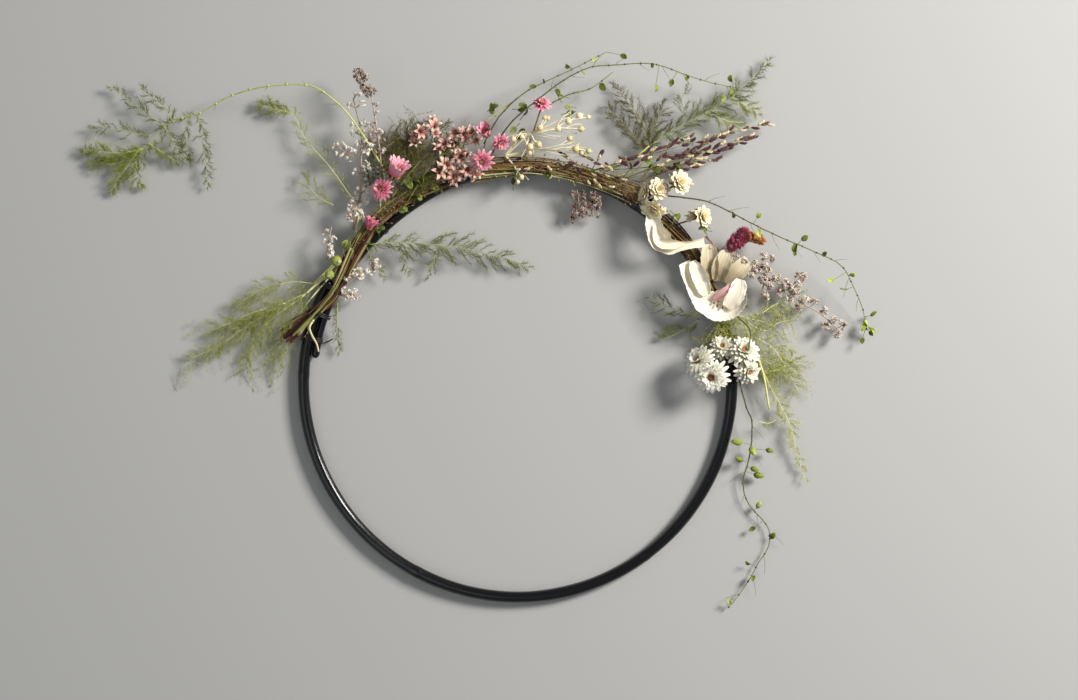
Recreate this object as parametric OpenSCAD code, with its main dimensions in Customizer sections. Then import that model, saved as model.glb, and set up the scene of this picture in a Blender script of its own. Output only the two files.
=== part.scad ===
// A wreath: a bent cane hoop dressed on its upper half with dried stems, foliage and flowers.
// Sizes are in millimetres. +Z is up, Z = 0 is the surface that the wreath lies on, and the
// origin is the middle of the hoop on that surface.
// A place on the wreath is [angle, out, up]: degrees anticlockwise from +X, the distance
// outwards from the cane's centreline, and the height over the surface.

/* [Hoop] */
// Outer diameter of the hoop
hoop_d = 300; // [260:10:400]
// Thickness of the cane
cane_d = 8; // [6:0.5:10]
// Thickness of the cane's thin inner end, where it laps
tail_d = 5.5; // [4:0.5:6]
// Angle at which the inner end of the cane stops
inner_end = 173; // [165:1:178]
// Angle at which the outer end of the cane stops
outer_end = 151; // [149:1:156]

/* [Binding wire] */
// Thickness of the binding wire
wire_d = 0.9; // [0.6:0.1:1.2]
// Length of the cut tail on the tie at the lap
tie_tail = 7; // [4:1:10]

/* [Stems] */
// Thickness of the main stems of the bunches
stem_d = 2.2; // [1.6:0.2:2.8]
// Thickness of the thin wiry stems that carry the round leaves
vine_d = 1.1; // [0.8:0.1:1.4]
// Depth of a feathery spray
spray_depth = 7; // [4:1:9]

/* [Flowers] */
// Diameter of the largest pink flower
pink_d = 19; // [14:1:24]
// Diameter of the largest cream flower
cream_d = 17; // [12:1:20]
// Diameter of the open white flower on the right
daisy_d = 25; // [18:1:30]
// Diameter of the star-shaped florets
floret_d = 12; // [9:1:14]
// Diameter of the round seed pods
pod_d = 5; // [4:0.5:6]
// Diameter of the round leaves
leaf_d = 6; // [5:0.5:7]

/* [Hidden] */
$fn = 48;
hoop_r = (hoop_d - cane_d) / 2;
cane_z = wire_d + cane_d / 2;
wire_pitch = wire_d * 1.15;
lap_gap = 0.1;
lap_offset = (cane_d + tail_d) / 2 + lap_gap; // the lapped strands' distance, centre to centre
lap_w = cane_d + tail_d + lap_gap; // their width together

// The cane starts to cross to its inner lap at merge_low, and lies lap_offset inside from merge_high on.
merge_low = 86;
merge_high = 146;
merge_mid = (merge_low + merge_high) / 2;
merge_shift = lap_offset / 2 / (1 - cos((merge_high - merge_low) / 2));

leaf_t = 0.6;
tube_sides = 6;
spray_sides = 8;
curve_steps = 3; // rings between two chosen points of a route

// Routes and places, as [angle, out, up]
cut_routes = [
    [[168, 19, 7], [165, 10, 11], [160, 0, 12], [154, -6, 12], [142, -3, 12]],
    [[169, 16, 11], [165, 7, 13], [160, -2, 14], [153, -8, 14], [141, -5, 14]],
    [[170, 12, 9], [165, 4, 12], [160, -4, 12], [154, -10, 12], [143, -7, 12]],
    [[167, 8, 16], [162, 1, 16], [157, -4, 16], [151, -6, 16], [141, -2, 16]]
];
cream_route = [[163, -1, 15], [165, 0, 17], [167, -3, 16], [169, -7, 13], [171, -9, 11]];
shoulder_routes = [
    [[149, -5, 12], [139, -2, 12], [132, 0, 13], [122, 1, 13], [109, 1, 13]],
    [[148, -8, 14], [138, -5, 15], [131, -3, 15], [121, -3, 14], [108, -3, 13]],
    [[148, -3, 15], [138, 1, 15], [130, 4, 15], [120, 6, 14], [107, 5, 13]]
];
stalk_routes = [
    [[102, -3, 13], [94, -3, 13], [85, -2, 14], [75, -2, 14], [65, -1, 14], [57, 1, 14]],
    [[101, 1, 14], [93, 0, 15], [84, 1, 16], [74, 1, 16], [64, 2, 16], [56, 5, 15]],
    [[100, 5, 13], [92, 4, 14], [83, 5, 15], [73, 5, 15], [64, 7, 15], [57, 10, 14]]
];
crown_routes = [
    [[55, 2, 12], [47, 1, 12], [39, 0, 12], [29, -1, 12], [18, -1, 12], [9, -2, 12]],
    [[54, 5, 14], [46, 4, 14], [38, 4, 14], [28, 2, 14], [18, 1, 14], [11, 0, 14]]
];
arch_route = [
    [122, 27, 14], [122, 61, 24], [123, 82, 28], [125, 99, 28], [130, 116, 24], [135, 129, 18],
    [140, 138, 13], [143, 149, 10], [148, 155, 8], [151, 171, 6], [152, 190, 5]
];
arch_tip_routes = [
    [[144, 155, 11], [142, 179, 8], [144, 198, 6]],
    [[147, 161, 9], [148, 175, 7], [149, 191, 6]],
    [[139, 131, 14], [143, 120, 9], [148, 103, 5]]
];
left_tip_route = [[132, 19, 14], [131, 48, 13], [131, 75, 10], [130, 94, 8], [133, 113, 6]];
behind_pinks_route = [[126, 29, 14], [119, 39, 17], [111, 39, 18], [104, 29, 15]];
inner_route = [[137, -8, 13], [130, -21, 12], [119, -39, 10], [106, -53, 8], [93, -62, 6], [84, -67, 5]];
low_left_route = [[157, 10, 13], [161, 21, 11], [168, 42, 8], [173, 60, 6], [176, 80, 5]];
drop_route = [[156, -12, 11], [164, -18, 7], [171, -23, 5]];
dark_route = [[59, 33, 10], [65, 52, 9], [69, 60, 7], [72, 69, 6]];
high_route = [[61, 38, 14], [58, 58, 15], [55, 78, 13], [53, 100, 10], [52, 133, 6]];
right_route = [[22, -1, 17], [17, 11, 17], [14, 26, 14]];
right_inner_route = [[21, -18, 13], [26, -30, 9], [33, -39, 6]];
right_spray_routes = [
    [[16, 27, 13], [17, 39, 10], [16, 51, 7]],
    [[11, 18, 13], [7, 31, 9], [-2, 46, 6]],
    [[8, 9, 12], [5, 24, 9], [1, 38, 7]]
];
hanging_route = [[5, 19, 12], [-1, 26, 10], [-6, 36, 8], [-10, 44, 7], [-14, 50, 6], [-19, 62, 5]];

crest_route = [[98, 18, 17], [94, 34, 25], [89, 49, 28], [84, 60, 26], [80, 70, 20], [75, 87, 11]];
vine_arch_route = [
    [95, 18, 18], [91, 31, 28], [86, 45, 34], [81, 61, 36], [77, 72, 34], [73, 78, 31], [67, 88, 27],
    [61, 92, 20], [57, 97, 14], [53, 105, 9]
];
short_route = [[85, 40, 25], [80, 52, 22], [76, 60, 18], [73, 75, 12]];
vine_right_route = [
    [49, 21, 17], [44, 31, 24], [39, 38, 28], [35, 44, 29], [29, 57, 28], [24, 73, 25], [20, 87, 20],
    [16, 91, 15], [12, 94, 10], [9, 94, 6]
];
loop_route = [[17, 9, 21], [13, 15, 25], [9, 12, 26], [5, 8, 25], [2, 7, 21]];
trailing_route = [
    [1, 4, 19], [-6, 10, 16], [-9, 15, 12], [-14, 18, 9], [-19, 20, 7], [-23, 21, 6], [-26, 26, 5],
    [-28, 34, 5], [-30, 51, 4], [-33, 58, 4], [-37, 59, 4], [-40, 61, 4], [-44, 63, 4], [-47, 64, 4]
];
vine_leaf_places = [
    [87, 55, 27], [85, 59, 25], [81, 71, 18], [78, 70, 16], [77, 79, 14], [72, 88, 11],
    [67, 87, 28], [63, 82, 22], [65, 74, 23], [61, 90, 19], [54, 99, 11], [54, 92, 11], [55, 107, 9],
    [78, 55, 22], [74, 63, 16],
    [38, 40, 27], [35, 52, 29], [32, 45, 29], [26, 62, 27], [27, 71, 27], [23, 79, 24], [18, 93, 18],
    [16, 84, 15], [8, 97, 8], [11, 101, 8], [7, 90, 8], [25, 60, 28], [18, 77, 18],
    [-15, 9, 10], [-16, 20, 9], [-19, 14, 9], [-20, 25, 8], [-15, 31, 8], [-21, 29, 7], [-27, 38, 6],
    [-32, 43, 6], [-31, 56, 6], [-38, 53, 5], [-40, 62, 5], [-46, 61, 5]
];
garland_leaf_places = [
    [89, 39, 22], [95, 41, 20], [82, 51, 22], [79, 42, 22], [90, 23, 22], [118, 8, 19], [116, 5, 19],
    [113, -2, 18], [118, -4, 18], [123, -3, 17], [132, -5, 17], [104, 11, 19], [91, -7, 18],
    [82, -3, 18], [141, 3, 18], [59, 27, 20], [57, 27, 20], [53, 35, 20], [49, -1, 20], [46, 9, 20],
    [40, 18, 20], [31, 44, 14]
];

sprig_left_routes = [
    [[129, 23, 14], [125, 39, 17], [122, 54, 18], [120, 77, 16]],
    [[126, 43, 17], [127, 52, 17], [127, 57, 16]],
    [[124, 45, 17], [121, 46, 19], [119, 50, 20]]
];
sprig_tall_route = [[122, 29, 19], [119, 50, 23], [117, 71, 25], [117, 89, 24]];
small_sprig_routes = [
    [[147, 8, 15], [144, 13, 15], [140, 19, 13]],
    [[150, -12, 16], [145, -16, 14], [140, -21, 12]],
    [[153, -13, 12], [152, -17, 10], [151, -21, 8]],
    [[136, 13, 16], [134, 16, 17], [132, 18, 17]]
];
sprig_right_route = [
    [38, 16, 15], [31, 20, 17], [27, 28, 17], [24, 36, 16], [20, 46, 14], [16, 54, 12], [13, 65, 10],
    [9, 77, 8]
];
sprig_right_branches = [
    [[26, 31, 16], [26, 37, 16], [27, 44, 15]],
    [[23, 37, 15], [21, 32, 13], [20, 30, 12]],
    [[19, 48, 14], [20, 55, 14], [21, 61, 13]]
];
inner_cluster_routes = [
    [[68, -5, 13], [67, -13, 11], [66, -22, 9]],
    [[73, -9, 13], [71, -18, 11], [70, -28, 8]]
];
green_pod_places = [[150, 1, 19], [146, 2, 20]];

floret_upper_places = [[111, 36, 24], [108, 37, 24], [107, 24, 23], [104, 28, 24], [102, 25, 23]];
floret_lower_places = [
    [110, 7, 21], [108, 10, 23], [107, 1, 21], [104, 11, 24], [103, 2, 22], [100, 5, 22]
];
flax_base = [93, 8, 17];
flax_pod_places = [
    [91, 19, 24], [85, 27, 28], [87, 14, 24], [85, 16, 25], [81, 28, 28], [78, 23, 26], [76, 17, 25],
    [73, 18, 24], [79, 34, 28], [77, 39, 28], [76, 31, 26], [89, -6, 15]
];
spikelet_bases = [[71, 6, 17], [63, 9, 17], [59, 13, 16]];
spikelet_places = [
    [79, 12, 20], [68, 13, 22], [65, 21, 23], [62, 28, 23], [60, 31, 22], [57, 49, 22], [55, 57, 21],
    [51, 68, 19], [50, 77, 17], [48, 68, 17], [47, 82, 15], [46, 87, 13], [46, 100, 10], [53, 49, 18],
    [50, 58, 16], [48, 58, 14], [50, 46, 15], [75, 16, 23], [70, 21, 22]
];

function last(list) = list[len(list) - 1];
function unit(v) = v / norm(v);

// The point in space of a place on the wreath
function point(place) = [
    (hoop_r + place[1]) * cos(place[0]),
    (hoop_r + place[1]) * sin(place[0]),
    place[2]
];
function points(route) = [for (place = route) point(place)];

// A point between b and c on the smooth curve through a, b, c and d
function between(a, b, c, d, t) =
    b + 0.5 * t * (c - a + t * (2 * a - 5 * b + 4 * c - d + t * (3 * (b - c) + d - a)));

// The curve through a route's points, with steps stretches between each two of them
function smooth(p, steps) = [
    for (i = [0:len(p) - 2]) for (k = [0:steps - 1])
        between(p[max(i - 1, 0)], p[i], p[i + 1], p[min(i + 2, len(p) - 1)], k / steps),
    last(p)
];

// One solid swept along a path, with a half width and a half height at each of its points
module sweep(path, half_w, half_h, sides) {
    n = len(path);
    rings = [
        for (i = [0:n - 1])
            let (
                along = unit(path[min(i + 1, n - 1)] - path[max(i - 1, 0)]),
                aside = unit(cross(along, [0, 0, 1])),
                above = cross(aside, along)
            )
            for (k = [0:sides - 1])
                path[i] + aside * half_w[i] * cos(360 * k / sides) + above * half_h[i] * sin(360 * k / sides)
    ];
    skin = [
        for (i = [0:n - 2]) for (k = [0:sides - 1])
            let (a = i * sides + k, b = i * sides + (k + 1) % sides)
            each [[a, b, b + sides], [a, b + sides, a + sides]]
    ];
    start_cap = [for (k = [sides - 1:-1:0]) k];
    end_cap = [for (k = [0:sides - 1]) (n - 1) * sides + k];
    polyhedron(points = rings, faces = concat([start_cap, end_cap], skin));
}

// A round stem along a route that thins to tip times its thickness
module stem(route, d, tip = 0.6) {
    path = smooth(points(route), curve_steps);
    half = [for (i = [0:len(path) - 1]) d / 2 * (1 - (1 - tip) * i / (len(path) - 1))];
    sweep(path, half, half, tube_sides);
}

// A feathery spray's outer shape: narrow where it starts, widest past its middle, pointed at its tip
module spray(route, width, depth = spray_depth) {
    path = smooth(points(route), curve_steps);
    n = len(path) - 1;
    swell = [for (i = [0:n]) 0.12 + 0.88 * sin(180 * pow(i / n, 1.2))];
    sweep(path, swell * width / 2, [for (s = swell) s * depth / 2], spray_sides);
}

// A stem crowded with small round seed heads
module seed_sprig(route, d) {
    knob_steps = 5;
    path = smooth(points(route), knob_steps);
    half = [for (i = [0:len(path) - 1]) d / 2 * (i % 2 == 0 ? 1 : 0.6)];
    sweep(path, half, half, tube_sides);
}

// A spindle from one point to another, widest in its middle
module spindle(from, to, d) {
    path = [for (t = [0:0.25:1]) from + (to - from) * t];
    half = [for (t = [0:0.25:1]) d / 2 * (0.25 + 0.75 * sin(180 * t))];
    sweep(path, half, half, tube_sides);
}

// Puts something that faces up at a place: lean tips it over towards the direction turn
module facing(place, turn, lean) {
    translate(point(place)) rotate([0, 0, turn]) rotate([0, lean, 0]) children();
}

module star(d, petals, inner) {
    polygon([
        for (k = [0:2 * petals - 1])
            let (r = k % 2 == 0 ? d / 2 : d / 2 * inner)
            [r * cos(180 * k / petals), r * sin(180 * k / petals)]
    ]);
}

// A papery flower head: tiers of pointed petals round a low button
module papery_head(d, petals = 14, tiers = 3) {
    tier_t = d * 0.09;
    cup_h = d * 0.28;
    translate([0, 0, -cup_h]) cylinder(d1 = d * 0.2, d2 = d * 0.62, h = cup_h + tier_t / 2);
    for (i = [0:tiers - 1])
        translate([0, 0, i * tier_t]) rotate(i * 90 / petals)
            linear_extrude(tier_t) star(d * (1 - 0.2 * i), petals, 0.62);
    cylinder(d = d * 0.34, h = (tiers + 0.6) * tier_t);
}

// A closed flower seen as a cup of upright petals
module papery_cup(d) {
    h = d * 0.9;
    rotate_extrude()
        polygon([
            [0, 0], [d * 0.2, 0], [d * 0.38, h * 0.25], [d * 0.46, h * 0.6],
            [d * 0.5, h], [d * 0.38, h], [d * 0.26, h * 0.55], [0, h * 0.45]
        ]);
}

// A star-shaped floret with a short tube under it
module floret(d) {
    floret_petals = 6;
    petal_t = d * 0.14;
    translate([0, 0, -d * 0.35]) cylinder(d1 = d * 0.15, d2 = d * 0.4, h = d * 0.35 + petal_t / 2);
    linear_extrude(petal_t) star(d, floret_petals, 0.5);
}

module round_leaf(d) {
    cylinder(d = d, h = leaf_t);
}

// A petal along a route, blunt at both ends and thin
module petal(route, width, thickness = 0.9) {
    path = smooth(points(route), curve_steps);
    n = len(path) - 1;
    sweep(
        path,
        [for (i = [0:n]) width / 2 * (0.3 + 0.7 * sin(180 * i / n))],
        [for (i = [0:n]) thickness / 2],
        spray_sides
    );
}

// A loop of binding wire round a bundle: across and high are the bundle's own width and height
module wire_loop(across, high) {
    corner = min(across, high) / 2;
    bend_r = corner + wire_d / 2;
    flat_w = across - 2 * corner;
    flat_h = high - 2 * corner;
    for (sx = [-1, 1]) for (sz = [-1, 1])
        translate([sx * flat_w / 2, 0, sz * flat_h / 2]) rotate([90, 0, 0])
            rotate(atan2(sz, sx) - 45) rotate_extrude(angle = 90)
                translate([bend_r, 0]) circle(d = wire_d, $fn = 16);
    for (sz = [-1, 1]) if (flat_w > 0)
        translate([-flat_w / 2, 0, sz * (flat_h / 2 + bend_r)]) rotate([0, 90, 0])
            cylinder(d = wire_d, h = flat_w, $fn = 16);
    for (sx = [-1, 1]) if (flat_h > 0)
        translate([sx * (flat_w / 2 + bend_r), 0, -flat_h / 2])
            cylinder(d = wire_d, h = flat_h, $fn = 16);
}

// Wraps of wire round the cane and whatever lies on it: out is the bundle's middle
module wraps(angle, out, across, high, turns) {
    for (k = [0:turns - 1])
        rotate(angle)
            translate([hoop_r + out, (k - (turns - 1) / 2) * wire_pitch, wire_d + high / 2])
                wire_loop(across, high);
}

// The way outwards from the origin at an angle
function outwards(angle) = [cos(angle), sin(angle), 0];

// An arc of cane of radius r and thickness d, from angle a to angle b, just short of both
module cane_arc(centre, r, a, b, d = cane_d) {
    short = 20 / r;
    translate(centre + [0, 0, cane_z]) rotate(a + short)
        rotate_extrude(angle = b - a - 2 * short) translate([r, 0]) circle(d = d);
}

// A knuckle round the cane where a leaf once grew; the arcs of cane meet inside knuckles
module cane_knuckle(centre, r, angle, d = cane_d) {
    half_l = 1.6;
    low_r = d / 2 - 0.6;
    high_r = d / 2 + 0.3;
    translate(centre + r * outwards(angle) + [0, 0, cane_z]) rotate([90, 0, angle]) rotate_extrude()
        polygon([
            [0, -half_l], [low_r, -half_l], [high_r, -half_l / 3],
            [high_r, half_l / 3], [low_r, half_l], [0, half_l]
        ]);
}

// A rounded end of the cane
module cane_tip(r, angle, d) {
    translate(r * outwards(angle) + [0, 0, cane_z]) sphere(d = d + 0.3);
}

module hoop() {
    middle = [0, 0, 0];
    inner_r = hoop_r - lap_offset;
    low_centre = merge_shift * outwards(merge_low);
    low_r = hoop_r - merge_shift;
    high_centre = -merge_shift * outwards(merge_high);
    high_r = inner_r + merge_shift;
    color([0.06, 0.06, 0.07]) {
        cane_arc(middle, hoop_r, outer_end - 360, merge_low);
        cane_knuckle(middle, hoop_r, merge_low);
        cane_arc(low_centre, low_r, merge_low, merge_mid);
        cane_knuckle(low_centre, low_r, merge_mid);
        cane_arc(high_centre, high_r, merge_mid, merge_high);
        cane_knuckle(middle, inner_r, merge_high);
        cane_arc(middle, inner_r, merge_high, inner_end, tail_d);
        cane_tip(inner_r, inner_end, tail_d);
        cane_tip(hoop_r, outer_end, cane_d);
        for (angle = [-10, -68, -131, -172]) cane_knuckle(middle, hoop_r, angle);
    }
}

module lap_tie() {
    tie_angle = 168;
    color([0.08, 0.08, 0.08]) {
        wraps(tie_angle, -tail_d / 2, lap_w, cane_d, 3);
        rotate(tie_angle) translate([hoop_r - cane_d / 2 - tail_d - tie_tail, 2 * wire_pitch, cane_z])
            rotate([0, 90, 0]) cylinder(d = wire_d, h = tie_tail, $fn = 16);
    }
}

module binding_wires() {
    bundle_h = cane_d + 8;
    color([0.08, 0.08, 0.08]) {
        wraps(161, -4, lap_w + 4, bundle_h, 3);
        wraps(153, -5, lap_w + 6, bundle_h, 3);
        wraps(131, -3, lap_w + 3, bundle_h, 2);
        wraps(88, 1, lap_w + 1, bundle_h, 2);
        wraps(49, 3, cane_d + 5, bundle_h - 1, 2);
        wraps(34, 2, cane_d + 4, bundle_h - 1, 2);
        wraps(12, 1, cane_d + 3, bundle_h - 1, 2);
    }
}

module cut_stems() {
    color([0.42, 0.22, 0.14]) for (route = cut_routes) stem(route, stem_d, 0.9);
}

module cream_stem() {
    color([0.86, 0.78, 0.56]) stem(cream_route, stem_d * 0.8, 0.8);
}

module shoulder_stems() {
    color([0.36, 0.24, 0.14]) for (route = shoulder_routes) stem(route, stem_d * 0.9, 0.8);
}

module crown_stems() {
    color([0.45, 0.38, 0.2]) for (route = crown_routes) stem(route, stem_d, 0.7);
}

module grass_stalks() {
    color([0.6, 0.45, 0.2]) for (route = stalk_routes) stem(route, stem_d * 0.9, 0.7);
}

module fern_arch() {
    color([0.55, 0.58, 0.3]) {
        stem([for (i = [0:5]) arch_route[i]], stem_d * 0.7, 0.8);
        spray([for (i = [5:len(arch_route) - 1]) arch_route[i]], 34);
    }
}

module fern_arch_tips() {
    color([0.48, 0.55, 0.25]) for (route = arch_tip_routes) spray(route, 20, spray_depth * 0.8);
}

module fern_left_tip() {
    color([0.55, 0.56, 0.3]) spray(left_tip_route, 20);
}

module fern_behind_pinks() {
    color([0.5, 0.52, 0.28]) spray(behind_pinks_route, 42);
}

module fern_inner() {
    color([0.5, 0.55, 0.32]) spray(inner_route, 30);
}

module fern_low_left() {
    color([0.6, 0.65, 0.32]) spray(low_left_route, 52);
}

module fern_drop() {
    color([0.5, 0.58, 0.3]) spray(drop_route, 9, spray_depth * 0.6);
}

module fern_dark() {
    color([0.33, 0.36, 0.24]) spray(dark_route, 30, spray_depth * 0.8);
}

module fern_high() {
    color([0.45, 0.5, 0.26]) spray(high_route, 24);
}

module fern_right() {
    color([0.55, 0.6, 0.3]) spray(right_route, 30);
}

module fern_right_inner() {
    color([0.6, 0.62, 0.4]) spray(right_inner_route, 26, spray_depth * 0.8);
}

module fern_right_spray() {
    color([0.62, 0.68, 0.36]) for (route = right_spray_routes) spray(route, 22, spray_depth * 0.8);
}

module fern_hanging() {
    color([0.66, 0.72, 0.4]) spray(hanging_route, 16, spray_depth * 0.7);
}

module vine_crest() {
    color([0.5, 0.42, 0.24]) stem(crest_route, vine_d);
}

module vine_arch() {
    color([0.5, 0.42, 0.24]) stem(vine_arch_route, vine_d);
}

module vine_short() {
    color([0.5, 0.42, 0.24]) stem(short_route, vine_d);
}

module vine_right() {
    color([0.5, 0.42, 0.24]) stem(vine_right_route, vine_d);
}

module vine_loop() {
    color([0.5, 0.42, 0.24]) stem(loop_route, vine_d, 0.8);
}

module vine_trailing() {
    color([0.5, 0.42, 0.24]) stem(trailing_route, vine_d);
}

module vine_leaves() {
    color([0.55, 0.68, 0.3]) for (place = vine_leaf_places)
        translate(point(place) + [0, 0, vine_d]) round_leaf(leaf_d);
}

module garland_leaves() {
    color([0.42, 0.52, 0.22]) for (place = garland_leaf_places)
        translate(point(place)) round_leaf(leaf_d * 1.1);
}

module seed_sprig_left() {
    color([0.62, 0.54, 0.46]) for (route = sprig_left_routes) seed_sprig(route, 5);
}

module seed_sprig_tall() {
    color([0.5, 0.38, 0.32]) seed_sprig(sprig_tall_route, 7);
}

module seed_sprigs_small() {
    color([0.72, 0.66, 0.6]) for (route = small_sprig_routes) seed_sprig(route, 4.5);
}

module seed_sprig_right() {
    color([0.55, 0.44, 0.36]) {
        seed_sprig(sprig_right_route, 6);
        for (route = sprig_right_branches) seed_sprig(route, 4);
    }
}

module seed_clusters_inner() {
    color([0.58, 0.46, 0.34]) for (route = inner_cluster_routes) seed_sprig(route, 6);
}

module green_pods() {
    color([0.5, 0.62, 0.24]) {
        translate(point(green_pod_places[0])) sphere(d = pod_d * 1.3);
        translate(point(green_pod_places[1])) sphere(d = pod_d * 1.5);
    }
}

module pink_flower_open() {
    color([0.92, 0.5, 0.6]) facing([125, 14, 25], 150, 30) papery_head(pink_d);
}

module pink_flower_tulip() {
    color([0.92, 0.5, 0.6]) facing([121, 17, 25], 60, 55) papery_cup(pink_d * 0.74);
}

module pink_bud() {
    color([0.9, 0.52, 0.6]) facing([134, 0, 18], 60, 70) papery_cup(pink_d * 0.45);
}

module pink_flower_star() {
    color([0.9, 0.42, 0.55]) facing([99, 6, 26], 260, 25) papery_head(pink_d * 0.95, 12, 2);
}

module pink_flower_pair() {
    color([0.93, 0.56, 0.64]) {
        facing([97, 23, 24], 120, 35) papery_cup(pink_d * 0.5);
        facing([94, 17, 25], 300, 35) papery_head(pink_d * 0.78, 11, 2);
    }
}

module pink_flower_high() {
    color([0.92, 0.5, 0.6]) facing([85, 43, 32], 80, 45) papery_head(pink_d * 0.78, 11, 2);
}

module star_florets_upper() {
    color([0.85, 0.66, 0.62]) for (i = [0:len(floret_upper_places) - 1])
        facing(floret_upper_places[i], 75 * i, 30) floret(floret_d);
}

module star_florets_lower() {
    color([0.88, 0.7, 0.64]) for (i = [0:len(floret_lower_places) - 1])
        facing(floret_lower_places[i], 75 * i, 30) floret(floret_d);
}

module flax_stems() {
    color([0.9, 0.86, 0.72]) for (place = flax_pod_places)
        let (mid = (flax_base + place) / 2 + [0, 0, 2])
        stem([flax_base, mid, place], vine_d * 0.8, 0.7);
}

module flax_pods() {
    color([0.93, 0.9, 0.74]) for (place = flax_pod_places) translate(point(place)) sphere(d = pod_d);
}

module grass_spikelets() {
    spikelet_l = 7;
    color([0.45, 0.28, 0.26]) for (i = [0:len(spikelet_places) - 1])
        let (
            base = point(spikelet_bases[i % len(spikelet_bases)]),
            tip = point(spikelet_places[i]),
            way = unit(tip - base)
        )
        spindle(tip - way * spikelet_l, tip, 2.8);
}

module cream_flower_side() {
    color([0.95, 0.9, 0.74]) facing([56, 9, 20], 170, 60) papery_cup(cream_d * 0.9);
}

module cream_flower_cup() {
    color([0.95, 0.9, 0.76]) facing([54, 16, 24], 30, 25) papery_cup(cream_d * 0.9);
}

module cream_flower_open() {
    color([0.96, 0.92, 0.8]) facing([51, 28, 26], 20, 40) papery_head(cream_d * 1.08, 9, 3);
}

module cream_flower_low() {
    color([0.94, 0.88, 0.72]) facing([52, 3, 24], 240, 45) papery_head(cream_d, 8, 2);
}

module cream_flower_right() {
    color([0.95, 0.9, 0.74]) facing([42, 22, 23], 10, 45) papery_head(cream_d, 8, 2);
}

module curled_petal() {
    color([0.97, 0.95, 0.88]) petal(
        [[52, 0, 22], [47, -8, 22], [42, -8, 22], [39, 2, 23], [37, 12, 22]], 15
    );
}

module white_flower() {
    color([0.97, 0.94, 0.88]) {
        petal([[36, -7, 23], [30, -9, 22], [24, -8, 21], [21, 0, 20], [21, 9, 21], [23, 18, 24]], 20);
        petal([[35, -2, 25], [30, -4, 25], [25, -5, 23]], 11);
        petal([[23, -2, 23], [24, 6, 25], [25, 15, 26]], 8);
    }
}

module papery_petals() {
    color([0.68, 0.6, 0.45]) {
        petal([[28, 3, 17], [32, 7, 20], [36, 14, 19]], 16);
        petal([[26, 10, 16], [27, 21, 19], [28, 31, 17]], 16);
    }
}

module celosia_tuft() {
    color([0.6, 0.08, 0.22]) seed_sprig([[36, 26, 19], [33, 32, 21], [31, 39, 20]], 11);
}

module celosia_tail() {
    color([0.65, 0.4, 0.16]) seed_sprig([[34, 34, 18], [32, 41, 18], [30, 46, 16]], 6);
}

module white_daisy() {
    color([0.97, 0.95, 0.88]) facing([2, -15, 25], 230, 15) papery_head(daisy_d, 18, 4);
}

module white_daisy_side() {
    color([0.96, 0.92, 0.8]) facing([7, -22, 21], 140, 45) papery_head(daisy_d * 0.9, 16, 3);
}

module white_daisy_cluster() {
    color([0.95, 0.92, 0.76]) {
        facing([8, 8, 21], 70, 30) papery_head(daisy_d * 0.9, 16, 3);
        facing([3, 10, 19], 330, 35) papery_head(daisy_d * 0.8, 14, 3);
        facing([10, -5, 17], 110, 25) papery_head(daisy_d * 0.75, 14, 3);
    }
}

hoop();
lap_tie();
binding_wires();
cut_stems();
cream_stem();
shoulder_stems();
crown_stems();
grass_stalks();
fern_arch();
fern_arch_tips();
fern_left_tip();
fern_behind_pinks();
fern_inner();
fern_low_left();
fern_drop();
fern_dark();
fern_high();
fern_right();
fern_right_inner();
fern_right_spray();
fern_hanging();
vine_crest();
vine_arch();
vine_short();
vine_right();
vine_loop();
vine_trailing();
vine_leaves();
garland_leaves();
seed_sprig_left();
seed_sprig_tall();
seed_sprigs_small();
seed_sprig_right();
seed_clusters_inner();
green_pods();
pink_flower_open();
pink_flower_tulip();
pink_bud();
pink_flower_star();
pink_flower_pair();
pink_flower_high();
star_florets_upper();
star_florets_lower();
flax_stems();
flax_pods();
grass_spikelets();
cream_flower_side();
cream_flower_cup();
cream_flower_open();
cream_flower_low();
cream_flower_right();
curled_petal();
white_flower();
papery_petals();
celosia_tuft();
celosia_tail();
white_daisy();
white_daisy_side();
white_daisy_cluster();
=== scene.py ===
"""A hoop of black lacquered cane, dressed over its upper half with dried flowers, ferns and vines.

Lengths are in millimetres, and are turned into metres where a mesh is made.
A place on the wreath is (angle, out, up): degrees anticlockwise from +X, millimetres outwards
from the cane's centre line, and height above the surface that the wreath lies on.
"""

import math
import random

import bpy
from mathutils import Matrix, Vector


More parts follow.
